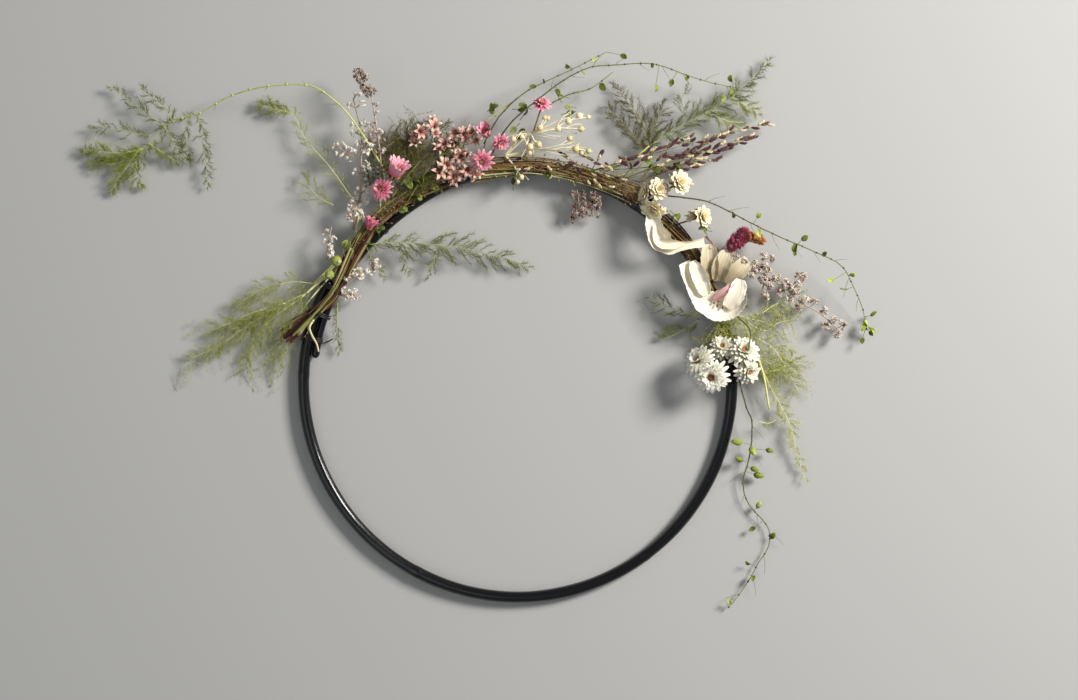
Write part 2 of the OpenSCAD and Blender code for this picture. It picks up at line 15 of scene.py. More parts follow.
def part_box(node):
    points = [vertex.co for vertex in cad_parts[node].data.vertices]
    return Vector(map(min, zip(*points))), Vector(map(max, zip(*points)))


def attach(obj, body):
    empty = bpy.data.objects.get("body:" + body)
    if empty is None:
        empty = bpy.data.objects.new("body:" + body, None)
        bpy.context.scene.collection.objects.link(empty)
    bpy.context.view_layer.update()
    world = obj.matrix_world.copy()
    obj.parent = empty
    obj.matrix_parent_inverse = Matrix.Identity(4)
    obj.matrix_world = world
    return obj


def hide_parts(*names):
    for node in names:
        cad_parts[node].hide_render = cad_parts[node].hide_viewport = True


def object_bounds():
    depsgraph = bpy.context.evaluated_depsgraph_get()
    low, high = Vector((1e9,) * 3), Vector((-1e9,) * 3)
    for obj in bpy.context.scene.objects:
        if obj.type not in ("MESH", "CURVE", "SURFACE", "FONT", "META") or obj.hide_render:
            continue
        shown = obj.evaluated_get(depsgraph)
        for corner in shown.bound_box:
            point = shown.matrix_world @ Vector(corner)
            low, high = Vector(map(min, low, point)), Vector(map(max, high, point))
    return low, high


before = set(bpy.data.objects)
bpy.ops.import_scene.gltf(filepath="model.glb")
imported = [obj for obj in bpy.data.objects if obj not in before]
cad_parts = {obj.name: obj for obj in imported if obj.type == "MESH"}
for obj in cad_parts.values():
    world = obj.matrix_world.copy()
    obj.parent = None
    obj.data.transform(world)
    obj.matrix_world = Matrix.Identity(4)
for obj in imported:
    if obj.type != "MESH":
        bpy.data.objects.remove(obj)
cad_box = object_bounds()

MM = 0.001
UP = Vector((0, 0, 1))
FLOOR_GAP = 0.15  # the lowest that any leaf or needle reaches
TOP = cad_box[1].z / MM + 0.8  # the highest

# ---------------------------------------------------------------- the wreath's own dimensions
CANE_D = 8.0
TAIL_D = 5.5
WIRE_D = 0.9
STEM_D = 2.2
VINE_D = 1.1
LEAF_D = 6.0
hoop_low, hoop_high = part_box("hoop")
HOOP_R = round((hoop_high.x - hoop_low.x) / MM) / 2 - CANE_D / 2
CANE_Z = WIRE_D + CANE_D / 2
LAP_OFFSET = (CANE_D + TAIL_D) / 2 + 0.1
MERGE_LOW = 86  # the angles between which the cane crosses over to its inner lap
MERGE_HIGH = 146
INNER_END = 173
OUTER_END = 151


def point(place):
    """The point in space of a place on the wreath."""
    angle = math.radians(place[0])
    reach = HOOP_R + place[1]
    return Vector((reach * math.cos(angle), reach * math.sin(angle), place[2]))


def smooth(places, steps=8):
    """A smooth curve through a list of points, with steps stretches between each two of them."""
    path = []
    last = len(places) - 1
    for i in range(last):
        a, b = places[max(i - 1, 0)], places[i]
        c, d = places[i + 1], places[min(i + 2, last)]
        for k in range(steps):
            t = k / steps
            bend = 2 * a - 5 * b + 4 * c - d + t * (3 * (b - c) + d - a)
            path.append(b + 0.5 * t * (c - a + t * bend))
    path.append(places[last])
    return path


def curve(route, steps=8):
    """A smooth curve through a list of places on the wreath."""
    return smooth([point(place) for place in route], steps)


def lengths(path):
    """The distance along a path to each of its points."""
    run = [0.0]
    for a, b in zip(path, path[1:]):
        run.append(run[-1] + (b - a).length)
    return run


def walk(path, gap, start=0.0):
    """Even steps along a path from a share of its length: the share passed, the point, the direction."""
    run = lengths(path)
    total = run[-1]
    reach = total * start
    i = 0
    while reach < total:
        while run[i + 1] < reach:
            i += 1
        share = (reach - run[i]) / max(run[i + 1] - run[i], 1e-9)
        yield reach / total, path[i].lerp(path[i + 1], share), (path[i + 1] - path[i]).normalized()
        reach += gap


def tangents(path):
    last = len(path) - 1
    return [(path[min(i + 1, last)] - path[max(i - 1, 0)]).normalized() for i in range(last + 1)]


def sideways(along):
    """A direction across another one, level where that can be."""
    side = along.cross(UP)
    if side.length < 0.05:
        side = along.cross(Vector((1, 0, 0)))
    return side.normalized()


def across_both(along):
    """Two directions across another one and across each other."""
    side = sideways(along)
    return side, side.cross(along)


def ring_way(spin):
    """The level direction at an angle in radians from +X."""
    return Vector((math.cos(spin), math.sin(spin), 0))


def outwards(angle):
    return ring_way(math.radians(angle))


def jitter(rng, size):
    return Vector((rng.uniform(-size, size), rng.uniform(-size, size), rng.uniform(-size, size)))


def mix(a, b, t):
    return a + (b - a) * t


def shaded(tones, shade):
    return (tones[0] + shade, tones[1] + shade)


def bowed(start, end, lift, steps=4):
    """A smooth path from start to end, its middle moved by lift."""
    return smooth([start, start.lerp(end, 0.5) + lift, end], steps)


# ---------------------------------------------------------------- mesh making
class Shape:
    """Gathers many small closed forms into one mesh.

    tone is where a point's colour lies on its material's ramp. grain is the point in the form's own
    straightened coordinates, in millimetres, so that streaks and veins follow each stem and petal.
    """

    def __init__(self):
        self.points = []
        self.faces = []
        self.tones = []
        self.grains = []
        self.count = 0

    def add(self, points, faces, tones, grains):
        first = len(self.points)
        offset = 37.0 * self.count
        self.count += 1
        self.points += points
        self.faces += [[first + i for i in face] for face in faces]
        self.tones += tones
        self.grains += [(a + offset, b, c) for a, b, c in grains]

    def mesh(self, name):
        mesh = bpy.data.meshes.new(name)
        places = [(p.x * MM, p.y * MM, min(max(p.z, FLOOR_GAP), TOP) * MM) for p in self.points]
        mesh.from_pydata(places, [], self.faces)
        tone = mesh.attributes.new("tone", "FLOAT", "POINT")
        tone.data.foreach_set("value", self.tones)
        grain = mesh.attributes.new("grain", "FLOAT_VECTOR", "POINT")
        grain.data.foreach_set("vector", [x for g in self.grains for x in g])
        mesh.polygons.foreach_set("use_smooth", [True] * len(mesh.polygons))
        mesh.update()
        return mesh


def tube(shape, path, radii, sides=6, tones=(0.5, 0.5), cut_tone=None, ridge=None):
    """A closed tube along a path.

    cut_tone colours its slanted first end. ridge(along, angle) adds to its radius.
    """
    ways = tangents(path)
    run = lengths(path)
    total = max(run[-1], 1e-6)
    side = sideways(ways[0])
    points, colours, grains = [], [], []
    for i, (place, way) in enumerate(zip(path, ways)):
        side = (side - way * side.dot(way)).normalized()
        above = side.cross(way)
        for k in range(sides):
            angle = math.tau * k / sides
            radius = radii[i] + (ridge(run[i], angle) if ridge else 0)
            points.append(place + (side * math.cos(angle) + above * math.sin(angle)) * radius)
            colours.append(mix(tones[0], tones[1], run[i] / total))
            grains.append((run[i], radius * math.cos(angle), radius * math.sin(angle)))
    faces = []
    for i in range(len(path) - 1):
        for k in range(sides):
            a, b = i * sides + k, i * sides + (k + 1) % sides
            faces.append([a, a + sides, b + sides, b])
    first_ring = range(sides)
    if cut_tone is not None:
        for k in range(sides):
            points[k] += ways[0] * (radii[0] * 1.6 * math.sin(math.tau * k / sides))
        inset = len(points)
        for k in range(sides):
            points.append(path[0].lerp(points[k], 0.88))
            colours.append(cut_tone)
            grains.append(grains[k])
        for k in range(sides):
            faces.append([k, (k + 1) % sides, inset + (k + 1) % sides, inset + k])
        first_ring = range(inset, inset + sides)
    last = (len(path) - 1) * sides
    faces += [list(first_ring), list(range(last, last + sides))[::-1]]
    shape.add(points, faces, colours, grains)


def taper(count, start, end):
    return [mix(start, end, i / (count - 1)) / 2 for i in range(count)]


def stem(shape, path, thick, thin, sides=6, tones=(0.4, 0.6), cut_tone=None):
    tube(shape, path, taper(len(path), thick, thin), sides, tones, cut_tone)


def needle(shape, base, tip, bend, thick, tones):
    """A fine curved needle with three sides that narrows to a point."""
    side, above = across_both((tip - base).normalized())
    points = []
    for place, radius in ((base, thick / 2), (base.lerp(tip, 0.5) + bend, thick / 2.4)):
        for k in range(3):
            angle = math.tau * k / 3
            points.append(place + (side * math.cos(angle) + above * math.sin(angle)) * radius)
    points.append(tip)
    faces = [[2, 1, 0], [3, 4, 6], [4, 5, 6], [5, 3, 6]]
    faces += [[k, (k + 1) % 3, 3 + (k + 1) % 3, 3 + k] for k in range(3)]
    colours = [tones[0]] * 3 + [mix(tones[0], tones[1], 0.5)] * 3 + [tones[1]]
    shape.add(points, faces, colours, [(0, p.x, p.y) for p in points])


def knob(shape, base, way, length, width, tones=(0.4, 0.6), sides=6, blunt=0.1):
    """A small bud or seed along a direction."""
    profile = [(0, 0.35), (0.2, 0.85), (0.5, 1), (0.8, 0.7), (1, blunt)]
    path = [base + way * (length * t) for t, _ in profile]
    tube(shape, path, [width / 2 * r for _, r in profile], sides, tones)


def blade(shape, path, widths, normal, curl, thick, columns, tones, edge=0.0, ruffle=None):
    """A petal or leaf along a path: a thin closed sheet whose sides roll up by curl radians.

    edge is added to the tone at the sides. ruffle(along, across) lifts a point off the sheet.
    """
    ways = tangents(path)
    run = lengths(path)
    total = max(run[-1], 1e-6)
    ring = 2 * columns - 2
    points, colours, grains = [], [], []
    for i, (place, way) in enumerate(zip(path, ways)):
        aside = way.cross(normal).normalized()
        above = aside.cross(way)
        share = run[i] / total
        rows = [(j, 1) for j in range(columns)] + [(j, -1) for j in range(columns - 2, 0, -1)]
        for j, face in rows:
            u = 2 * j / (columns - 1) - 1
            across = math.sin(u * curl) / curl
            lift = (1 - math.cos(u * curl)) / curl
            lift = lift * widths[i] / 2 + face * thick / 2 * (1 - u * u)
            if ruffle:
                lift += ruffle(share, u)
            points.append(place + aside * (across * widths[i] / 2) + above * lift)
            colours.append(mix(tones[0], tones[1], share) + edge * u * u)
            grains.append((run[i], u * widths[i] / 2, 0))
    faces = []
    for i in range(len(path) - 1):
        for k in range(ring):
            a, b = i * ring + k, i * ring + (k + 1) % ring
            faces.append([a, b, b + ring, a + ring])
    last = (len(path) - 1) * ring
    faces += [list(range(ring))[::-1], list(range(last, last + ring))]
    shape.add(points, faces, colours, grains)


# ---------------------------------------------------------------- materials
def colour(red, green, blue):
    """A colour given as it looks, 0 to 255, in the linear values that shaders use."""
    def linear(value):
        value /= 255
        return value / 12.92 if value <= 0.04045 else ((value + 0.055) / 1.055) ** 2.4

    return (linear(red), linear(green), linear(blue), 1)


def material(name, ramp, streak=(4, 0.6), vary=0.2, rough=(0.55, 0.8), bump=0.2, depth=0.1,
             sheen=0.0, specular=0.4, coat=0.0):
    """Colours from a ramp by tone, broken up by streaks along the grain, with matching bumps.

    streak is the size of the marks along and across the grain, and depth the bump's, in millimetres.
    """
    made = bpy.data.materials.new(name)
    made.use_nodes = True
    nodes, links = made.node_tree.nodes, made.node_tree.links

    def wired(node, inputs):
        """A node with its inputs set, each to a number or to another node's output."""
        for key, value in inputs.items():
            if isinstance(value, bpy.types.NodeSocket):
                links.new(value, node.inputs[key])
            else:
                node.inputs[key].default_value = value
        return node

    def added(kind, inputs):
        return wired(nodes.new("ShaderNode" + kind), inputs)

    grain, tone = added("Attribute", {}), added("Attribute", {})
    grain.attribute_name = "grain"
    tone.attribute_name = "tone"
    stretch = added("Mapping", {
        "Vector": grain.outputs["Vector"], "Scale": (1 / streak[0], 1 / streak[1], 1 / streak[1])})
    noise = added("TexNoise", {"Vector": stretch.outputs["Vector"], "Scale": 1, "Detail": 4})
    marks = noise.outputs["Fac"]
    spread = added("MapRange", {
        "Value": marks, "From Min": 0.25, "From Max": 0.75, "To Min": -vary / 2, "To Max": vary / 2})
    total = added("Math", {0: tone.outputs["Fac"], 1: spread.outputs["Result"]})
    total.operation = "ADD"
    colours = added("ValToRGB", {"Fac": total.outputs["Value"]})
    stops = colours.color_ramp.elements
    for i, (position, rgb) in enumerate(ramp.items()):
        stop = stops[i] if i < 2 else stops.new(position)
        stop.position = position
        stop.color = colour(*rgb)
    gloss = added("MapRange", {"Value": marks, "To Min": rough[0], "To Max": rough[1]})
    relief = added("Bump", {"Height": marks, "Strength": bump, "Distance": depth * MM})
    wired(nodes["Principled BSDF"], {
        "Base Color": colours.outputs["Color"], "Roughness": gloss.outputs["Result"],
        "Normal": relief.outputs["Normal"], "Specular IOR Level": specular,
        "Sheen Weight": sheen, "Coat Weight": coat})
    return made


CANE = material("lacquered_cane", {0: (2, 2, 3), 0.5: (5, 5, 7), 1: (20, 19, 20)}, streak=(30, 0.35),
    vary=0.7, rough=(0.12, 0.3), bump=0.5, depth=0.2, specular=0.35, coat=0.4)
WIRE = material("black_wire", {0: (12, 12, 13), 1: (40, 40, 42)}, streak=(3, 0.5), vary=0.5,
    rough=(0.3, 0.5), bump=0.2)
BROWN_STEM = material("brown_stem", {0: (46, 24, 20), 0.35: (96, 50, 38), 0.55: (126, 96, 60),
    0.75: (120, 130, 58), 0.85: (158, 166, 92), 1: (206, 160, 140)}, streak=(6, 0.3), vary=0.4, bump=0.8,
    depth=0.3)
CREAM_STEM = material("cream_stem", {0: (170, 146, 92), 0.5: (224, 208, 152), 1: (240, 232, 196)},
    streak=(6, 0.4), vary=0.4, bump=0.3)
GOLDEN_STEM = material("golden_stem", {0: (44, 32, 22), 0.25: (92, 68, 40), 0.5: (156, 124, 64),
    0.75: (132, 134, 84), 1: (216, 206, 164)}, streak=(7, 0.3), vary=0.45, bump=0.6, depth=0.2)
VINE_STEM = material("vine_stem", {0: (66, 56, 32), 0.5: (98, 98, 52), 1: (150, 156, 96)},
    streak=(5, 0.4), vary=0.4, bump=0.4)
FERN_LOOKS = dict(streak=(3, 1), vary=0.35, bump=0.1, specular=0.25)
FERN = material("fern", {0: (74, 80, 32), 0.35: (108, 118, 44), 0.65: (150, 158, 70), 1: (204, 208, 118)},
    **FERN_LOOKS)
PALE_FERN = material("pale_fern", {0: (122, 128, 54), 0.4: (160, 166, 78), 0.7: (198, 200, 112),
    1: (230, 228, 164)}, **FERN_LOOKS)
DRY_FERN = material("dry_fern", {0: (76, 70, 34), 0.4: (118, 112, 56), 0.7: (154, 150, 84),
    1: (198, 196, 120)}, **FERN_LOOKS)
ROUND_LEAF = material("round_leaf", {0: (54, 58, 18), 0.4: (96, 108, 30), 0.7: (146, 162, 56),
    1: (208, 218, 124)}, streak=(1.6, 1.2), vary=0.3, bump=0.5, depth=0.15)
GARLAND_LEAF = material("garland_leaf", {0: (48, 50, 18), 0.4: (88, 98, 32), 0.7: (134, 148, 58),
    1: (200, 208, 124)}, streak=(1.8, 1.2), vary=0.35, bump=0.5, depth=0.15)
SEED_HEADS = material("seed_heads", {0: (66, 42, 38), 0.3: (118, 88, 74), 0.6: (186, 164, 144),
    1: (246, 238, 224)}, streak=(0.9, 0.6), vary=0.4, bump=0.7, depth=0.2)
POD = material("pod", {0: (84, 100, 36), 0.35: (140, 152, 66), 0.55: (186, 186, 112),
    0.75: (232, 208, 164), 1: (246, 238, 210)}, streak=(2.5, 0.5), vary=0.16, bump=0.3)
PINK_PETAL = material("pink_petal", {0: (176, 58, 92), 0.2: (218, 96, 128), 0.6: (250, 192, 204),
    0.75: (206, 158, 84), 0.85: (160, 106, 58), 1: (116, 96, 54)}, streak=(6, 0.3), vary=0.16, bump=0.4,
    sheen=0.1)
BLUSH_PETAL = material("blush_petal", {0: (104, 34, 40), 0.14: (172, 96, 88), 0.3: (212, 164, 148),
    0.6: (244, 226, 204), 0.8: (150, 112, 80), 1: (98, 80, 48)}, streak=(4, 0.35), vary=0.2, bump=0.5,
    sheen=0.1)
FLAX = material("flax", {0: (176, 160, 116), 0.4: (226, 214, 170), 1: (246, 240, 214)}, streak=(3, 0.45),
    vary=0.3, bump=0.3)
SPIKELET = material("spikelet", {0: (54, 24, 34), 0.3: (92, 48, 56), 0.5: (126, 118, 66),
    0.75: (196, 178, 130), 1: (238, 230, 204)}, streak=(3, 0.3), vary=0.3, bump=0.5)
CREAM_PETAL = material("cream_petal", {0: (190, 152, 96), 0.25: (234, 216, 166), 0.6: (246, 238, 208),
    0.75: (214, 166, 86), 0.85: (160, 102, 50), 1: (124, 82, 50)}, streak=(6, 0.35), vary=0.14, bump=0.4,
    sheen=0.1)
DAISY_PETAL = material("daisy_petal", {0: (176, 176, 122), 0.25: (226, 222, 192), 0.6: (247, 244, 232),
    0.75: (216, 158, 78), 0.85: (150, 92, 42), 1: (108, 104, 52)}, streak=(6, 0.35), vary=0.12, bump=0.4,
    sheen=0.1)
WHITE_PETAL = material("white_petal", {0: (84, 56, 34), 0.12: (196, 158, 104), 0.3: (238, 226, 198),
    0.65: (241, 235, 220), 0.82: (222, 180, 174), 1: (182, 116, 118)}, streak=(14, 0.8), vary=0.14,
    bump=0.5, depth=0.15, sheen=0.15)
TAUPE_PETAL = material("taupe_petal", {0: (122, 102, 70), 0.5: (184, 168, 134), 1: (222, 214, 190)},
    streak=(12, 0.5), vary=0.5, bump=0.5, depth=0.08, sheen=0.15)
MAGENTA_PLUME = material("magenta_plume", {0: (84, 6, 32), 0.5: (146, 18, 60), 1: (196, 60, 96)},
    streak=(1.5, 0.4), vary=0.3, bump=0.3, sheen=0.3)
RUST_PLUME = material("rust_plume", {0: (112, 56, 20), 0.5: (182, 104, 36), 1: (220, 162, 84)},
    streak=(1.5, 0.4), vary=0.3, bump=0.3, sheen=0.3)


def piece(name, shape, finish, slot, node):
    """A finished piece that stands for one CAD node."""
    made = bpy.data.objects.new(name, shape.mesh(name))
    bpy.context.scene.collection.objects.link(made)
    made.data.materials.append(finish)
    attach(made, "root")
    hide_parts(node)


# ---------------------------------------------------------------- the stage
VIEW_W = 735.0  # what the camera sees of the floor, side to side
VIEW_CENTRE = Vector((14.5, 22.5, 0))
CAMERA_UP = 2000.0
SENSOR = 36.0
FLOOR_R = 4.0  # half a side of the floor, in metres
SKY = (0.92, 0.96, 1.0)


def make_camera():
    camera = bpy.data.cameras.new("camera")
    camera.sensor_width = SENSOR
    camera.lens = SENSOR * (CAMERA_UP - CANE_Z) / VIEW_W
    camera.clip_end = 20
    made = bpy.data.objects.new("camera", camera)
    made.location = (VIEW_CENTRE + UP * CAMERA_UP) * MM
    bpy.context.scene.collection.objects.link(made)
    bpy.context.scene.camera = made


def make_light(name, way, far, size, watts, tint):
    light = bpy.data.lights.new(name, "AREA")
    light.size = size
    light.energy = watts
    light.color = tint
    made = bpy.data.objects.new(name, light)
    made.location = Vector(way).normalized() * far
    made.rotation_euler = Vector(way).to_track_quat("Z", "Y").to_euler()
    bpy.context.scene.collection.objects.link(made)


def make_floor():
    mesh = bpy.data.meshes.new("floor")
    ends = [(x * FLOOR_R, y * FLOOR_R, 0) for x, y in ((-1, -1), (1, -1), (1, 1), (-1, 1))]
    mesh.from_pydata(ends, [], [(0, 1, 2, 3)])
    floor = bpy.data.objects.new("floor", mesh)
    paint = bpy.data.materials.new("floor")
    paint.use_nodes = True
    shader = paint.node_tree.nodes["Principled BSDF"]
    shader.inputs["Base Color"].default_value = colour(178, 177, 174)
    shader.inputs["Roughness"].default_value = 0.9
    mesh.materials.append(paint)
    bpy.context.scene.collection.objects.link(floor)


def make_stage():
    make_camera()
    make_floor()
    make_light("key", (0.75, 0.42, 0.62), 1.9, 0.55, 50, (1.0, 0.98, 0.95))
    make_light("fill", (-0.5, -0.3, 1.0), 2.2, 1.6, 6, SKY)
    world = bpy.data.worlds.new("studio")
    world.use_nodes = True
    background = world.node_tree.nodes["Background"]
    background.inputs["Color"].default_value = (*SKY, 1)
    background.inputs["Strength"].default_value = 0.24
    bpy.context.scene.world = world
    bpy.context.scene.view_settings.view_transform = "Standard"


# ---------------------------------------------------------------- the hoop and its wire
KNUCKLES = (0.07, 0.24, 0.41, 0.58, 0.7, 0.79)  # where the cane thickens, as shares of its length
KNUCKLE_UP = 0.22
KNUCKLE_L = 2.2
THINNING_L = 60  # the stretch of cane that thins down to the tail
ROUND_END_L = 3
GROOVE_UP = 0.017


def arc(centre, radius, start, end, step=0.6):
    count = max(2, round(abs(end - start) / step))
    path = []
    for i in range(count + 1):
        angle = math.radians(mix(start, end, i / count))
        path.append(centre + Vector((radius * math.cos(angle), radius * math.sin(angle), CANE_Z)))
    return path


def make_hoop():
    """One long cane: its outer end, once round, then over to the inside of itself to its thin end."""
    middle = (MERGE_LOW + MERGE_HIGH) / 2
    shift = LAP_OFFSET / 2 / (1 - math.cos(math.radians(MERGE_HIGH - MERGE_LOW) / 2))
    inner_r = HOOP_R - LAP_OFFSET
    origin = Vector((0, 0, 0))
    path = arc(origin, HOOP_R, OUTER_END - 360, MERGE_LOW)
    path += arc(outwards(MERGE_LOW) * shift, HOOP_R - shift, MERGE_LOW, middle)[1:]
    path += arc(outwards(MERGE_HIGH) * -shift, inner_r + shift, middle, MERGE_HIGH)[1:]
    path += arc(origin, inner_r, MERGE_HIGH, INNER_END)[1:]
    run = lengths(path)
    total = run[-1]
    thin_from = total - math.radians(INNER_END - MERGE_HIGH) * inner_r
    knuckles = [total * share for share in KNUCKLES]
    radii = []
    for reach in run:
        thinning = min(max((reach - thin_from) / THINNING_L + 0.5, 0), 1)
        radius = mix(CANE_D, TAIL_D, thinning) / 2 - 0.12
        radius += KNUCKLE_UP * sum(math.exp(-((reach - knuckle) / KNUCKLE_L) ** 2) for knuckle in knuckles)
        radius += 0.06 * math.sin(reach / 17) + 0.05 * math.sin(reach / 7.3)
        rounding = min(reach, total - reach)
        if rounding < ROUND_END_L:
            radius *= math.sqrt(max(0.08, 1 - (1 - rounding / ROUND_END_L) ** 2))
        radii.append(radius)
    phases = random.Random("cane")
    waves = [(phases.randint(7, 19), phases.uniform(30, 90), phases.uniform(0, 6)) for _ in range(9)]

    def grooves(reach, angle):
        return GROOVE_UP * sum(math.sin(count * angle + reach / slow + phase)
                               for count, slow, phase in waves)

    shape = Shape()
    tube(shape, path, radii, 60, (0.4, 0.4), None, grooves)
    piece("lacquered_cane_hoop", shape, CANE, "cane", "hoop")


def winding(shape, angle, out, across, high, turns, rng, pitch=1.15):
    """Wire wound round the bundle, its turns slanting and a little uneven."""
    steps = 28
    centre = point((angle, out, WIRE_D / 2 + high / 2 + 0.05))
    radial = outwards(angle)
    along = UP.cross(radial)
    path = []
    uneven = [rng.uniform(-0.25, 0.25) for _ in range(turns + 2)]
    for i in range(steps * turns + 1):
        turn = i / steps
        a = math.tau * turn
        slack = 1 + uneven[int(turn)] * 0.1 * math.sin(a / 2) ** 2
        shift = (turn - turns / 2) * pitch + uneven[int(turn)] * math.sin(a / 2) ** 2
        path.append(centre + radial * (math.cos(a) * across / 2 * slack)
                    + UP * (math.sin(a) * high / 2) + along * shift)
    tube(shape, path, [WIRE_D / 2] * len(path), 8, (0.3, 0.6))


TIE_ANGLE = 168
TIE_TAIL = [(0.6, -0.6, 6.5), (0.3, 1.5, 5.2), (-0.3, 4.0, 4.4), (-1.4, 6.8, 4.0)]  # turn, reach, up
WINDINGS = [  # angle, out, width of the bundle there, turns
    (161, -3, 16, 3), (153, -4, 17, 3), (131, -3, 15, 3), (88, 1, 14, 2), (49, 2, 13, 2), (34, 1, 12, 3),
    (12, 0, 11, 2),
]


def make_wires():
    rng = random.Random("wires")
    lap_w = CANE_D + TAIL_D + WIRE_D
    tie = Shape()
    winding(tie, TIE_ANGLE, -TAIL_D / 2, lap_w, CANE_D + 0.3, 3, rng)
    inner = HOOP_R - CANE_D / 2 - TAIL_D
    tail = [outwards(TIE_ANGLE + turn) * (inner - reach) + UP * up for turn, reach, up in TIE_TAIL]
    tail = smooth(tail, 5)
    tube(tie, tail, [WIRE_D / 2] * len(tail), 8, (0.3, 0.6))
    piece("lap_tie_wire", tie, WIRE, "wire", "lap_tie")
    bundle = Shape()
    high = CANE_D + 8
    for angle, out, across, turns in WINDINGS:
        winding(bundle, angle, out, across, high, turns, rng)
    piece("binding_wire", bundle, WIRE, "wire", "binding_wires")


# ---------------------------------------------------------------- stems
CUT_ROUTES = [
    [(168, 19, 7), (165, 10, 11), (160, 0, 12), (154, -6, 12), (142, -3, 12)],
    [(169, 16, 11), (165, 7, 13), (160, -2, 14), (153, -8, 14), (141, -5, 14)],
    [(170, 12, 9), (165, 4, 12), (160, -4, 12), (154, -10, 12), (143, -7, 12)],
    [(167, 8, 16), (162, 1, 16), (157, -4, 16), (151, -6, 16), (141, -2, 16)],
]
CREAM_ROUTE = [(163, -1, 15), (165, 0, 17), (167, -3, 16), (169, -7, 13), (171, -9, 11)]
SHOULDER_ROUTES = [
    [(149, -5, 12), (139, -2, 12), (132, 0, 13), (122, 1, 13), (109, 1, 13)],
    [(148, -8, 14), (138, -5, 15), (131, -3, 15), (121, -3, 14), (108, -3, 13)],
    [(148, -3, 15), (138, 1, 15), (130, 4, 15), (120, 6, 14), (107, 5, 13)],
]
STALK_ROUTES = [
    [(102, -3, 13), (94, -3, 13), (85, -2, 14), (75, -2, 14), (65, -1, 14), (57, 1, 14)],
    [(101, 1, 14), (93, 0, 15), (84, 1, 16), (74, 1, 16), (64, 2, 16), (56, 5, 15)],
    [(100, 5, 13), (92, 4, 14), (83, 5, 15), (73, 5, 15), (64, 7, 15), (57, 10, 14)],
]
CROWN_ROUTES = [
    [(55, 2, 12), (47, 1, 12), (39, 0, 12), (29, -1, 12), (18, -1, 12), (9, -2, 12)],
    [(54, 5, 14), (46, 4, 14), (38, 4, 14), (28, 2, 14), (18, 1, 14), (11, 0, 14)],
]


def strands(shape, routes, rng, copies, spread, thick, thin, tone_low, tone_high, cut_tone=None):
    """Several stems along each route, each a little off it and crossing the others."""
    for route in routes:
        for _ in range(copies):
            drift = jitter(rng, spread * 1.4)
            turn = jitter(rng, spread)
            places = [point(place) for place in route]
            last = len(places) - 1
            moved = [place + drift.lerp(turn, i / last) + jitter(rng, spread * 0.25)
                     for i, place in enumerate(places)]
            tone = rng.uniform(tone_low, tone_high)
            scale = rng.uniform(0.75, 1.15)
            tones = (tone, tone + rng.uniform(-0.08, 0.12))
            stem(shape, smooth(moved, 7), thick * scale, thin * scale, 7, tones, cut_tone)


def twigs(shape, routes, rng, gap, reach, tone):
    """Short broken side twigs and husks along the stems."""
    for route in routes:
        for _, place, along in walk(curve(route), gap, 0.05):
            way = (along * rng.uniform(0.3, 1) + sideways(along) * rng.uniform(-0.8, 0.8)
                   + UP * rng.uniform(0, 0.6)).normalized()
            length = reach * rng.uniform(0.5, 1.2)
            bend = jitter(rng, length * 0.12)
            shade = tone + rng.uniform(-0.15, 0.15)
            needle(shape, place, place + way * length, bend, 0.7, (shade, shade + 0.15))
            if rng.random() < 0.45:
                knob(shape, place + way * length * 0.9, way, 2.2, 1.1, (shade, shade + 0.25), 5)


def make_stems():
    rng = random.Random("stems")
    cut = Shape()
    strands(cut, CUT_ROUTES[:3], rng, 3, 1.7, STEM_D * 0.9, STEM_D * 0.8, 0.08, 0.34, 1.0)
    strands(cut, CUT_ROUTES[3:], rng, 4, 1.7, STEM_D * 0.75, STEM_D * 0.6, 0.7, 0.86, 0.95)
    strands(cut, [route[1:] for route in CUT_ROUTES], rng, 3, 2.2, 1.0, 0.7, 0.2, 0.9)
    piece("cut_stem_bundle", cut, BROWN_STEM, "brown_stem", "cut_stems")

    cream = Shape()
    stem(cream, curve(CREAM_ROUTE, 8), STEM_D * 0.7, STEM_D * 0.5, 8, (0.5, 0.8), 1.0)
    piece("bent_cream_stem", cream, CREAM_STEM, "cream_stem", "cream_stem")

    shoulder = Shape()
    strands(shoulder, SHOULDER_ROUTES, rng, 5, 2.0, 1.5, 0.9, 0.02, 0.6)
    strands(shoulder, SHOULDER_ROUTES, rng, 4, 2.8, 0.9, 0.5, 0.66, 0.9)
    twigs(shoulder, SHOULDER_ROUTES, rng, 1.6, 6, 0.45)
    piece("shoulder_stem_bundle", shoulder, BROWN_STEM, "brown_stem", "shoulder_stems")

    crown = Shape()
    strands(crown, CROWN_ROUTES, rng, 10, 2.4, 1.3, 0.7, 0.0, 0.45)
    twigs(crown, CROWN_ROUTES, rng, 1.6, 6, 0.35)
    piece("crown_stem_bundle", crown, GOLDEN_STEM, "golden_stem", "crown_stems")

    stalks = Shape()
    strands(stalks, STALK_ROUTES, rng, 14, 2.6, 0.85, 0.45, 0.05, 0.95)
    strands(stalks, [route[3:] for route in STALK_ROUTES], rng, 6, 2.0, 0.9, 0.6, 0.4, 0.55)
    twigs(stalks, STALK_ROUTES, rng, 1.6, 6, 0.5)
    piece("grass_stalk_bundle", stalks, GOLDEN_STEM, "golden_stem", "grass_stalks")


# ---------------------------------------------------------------- feathery sprays
SPINE_D = 0.6
TWIG_LEAN = 40  # degrees between a spine and its side twigs
FERN_STEPS = 6  # stretches between two points of a spray's route
ARCH_BARE = 70  # how many points of the arch's path have knobs, and no side twigs


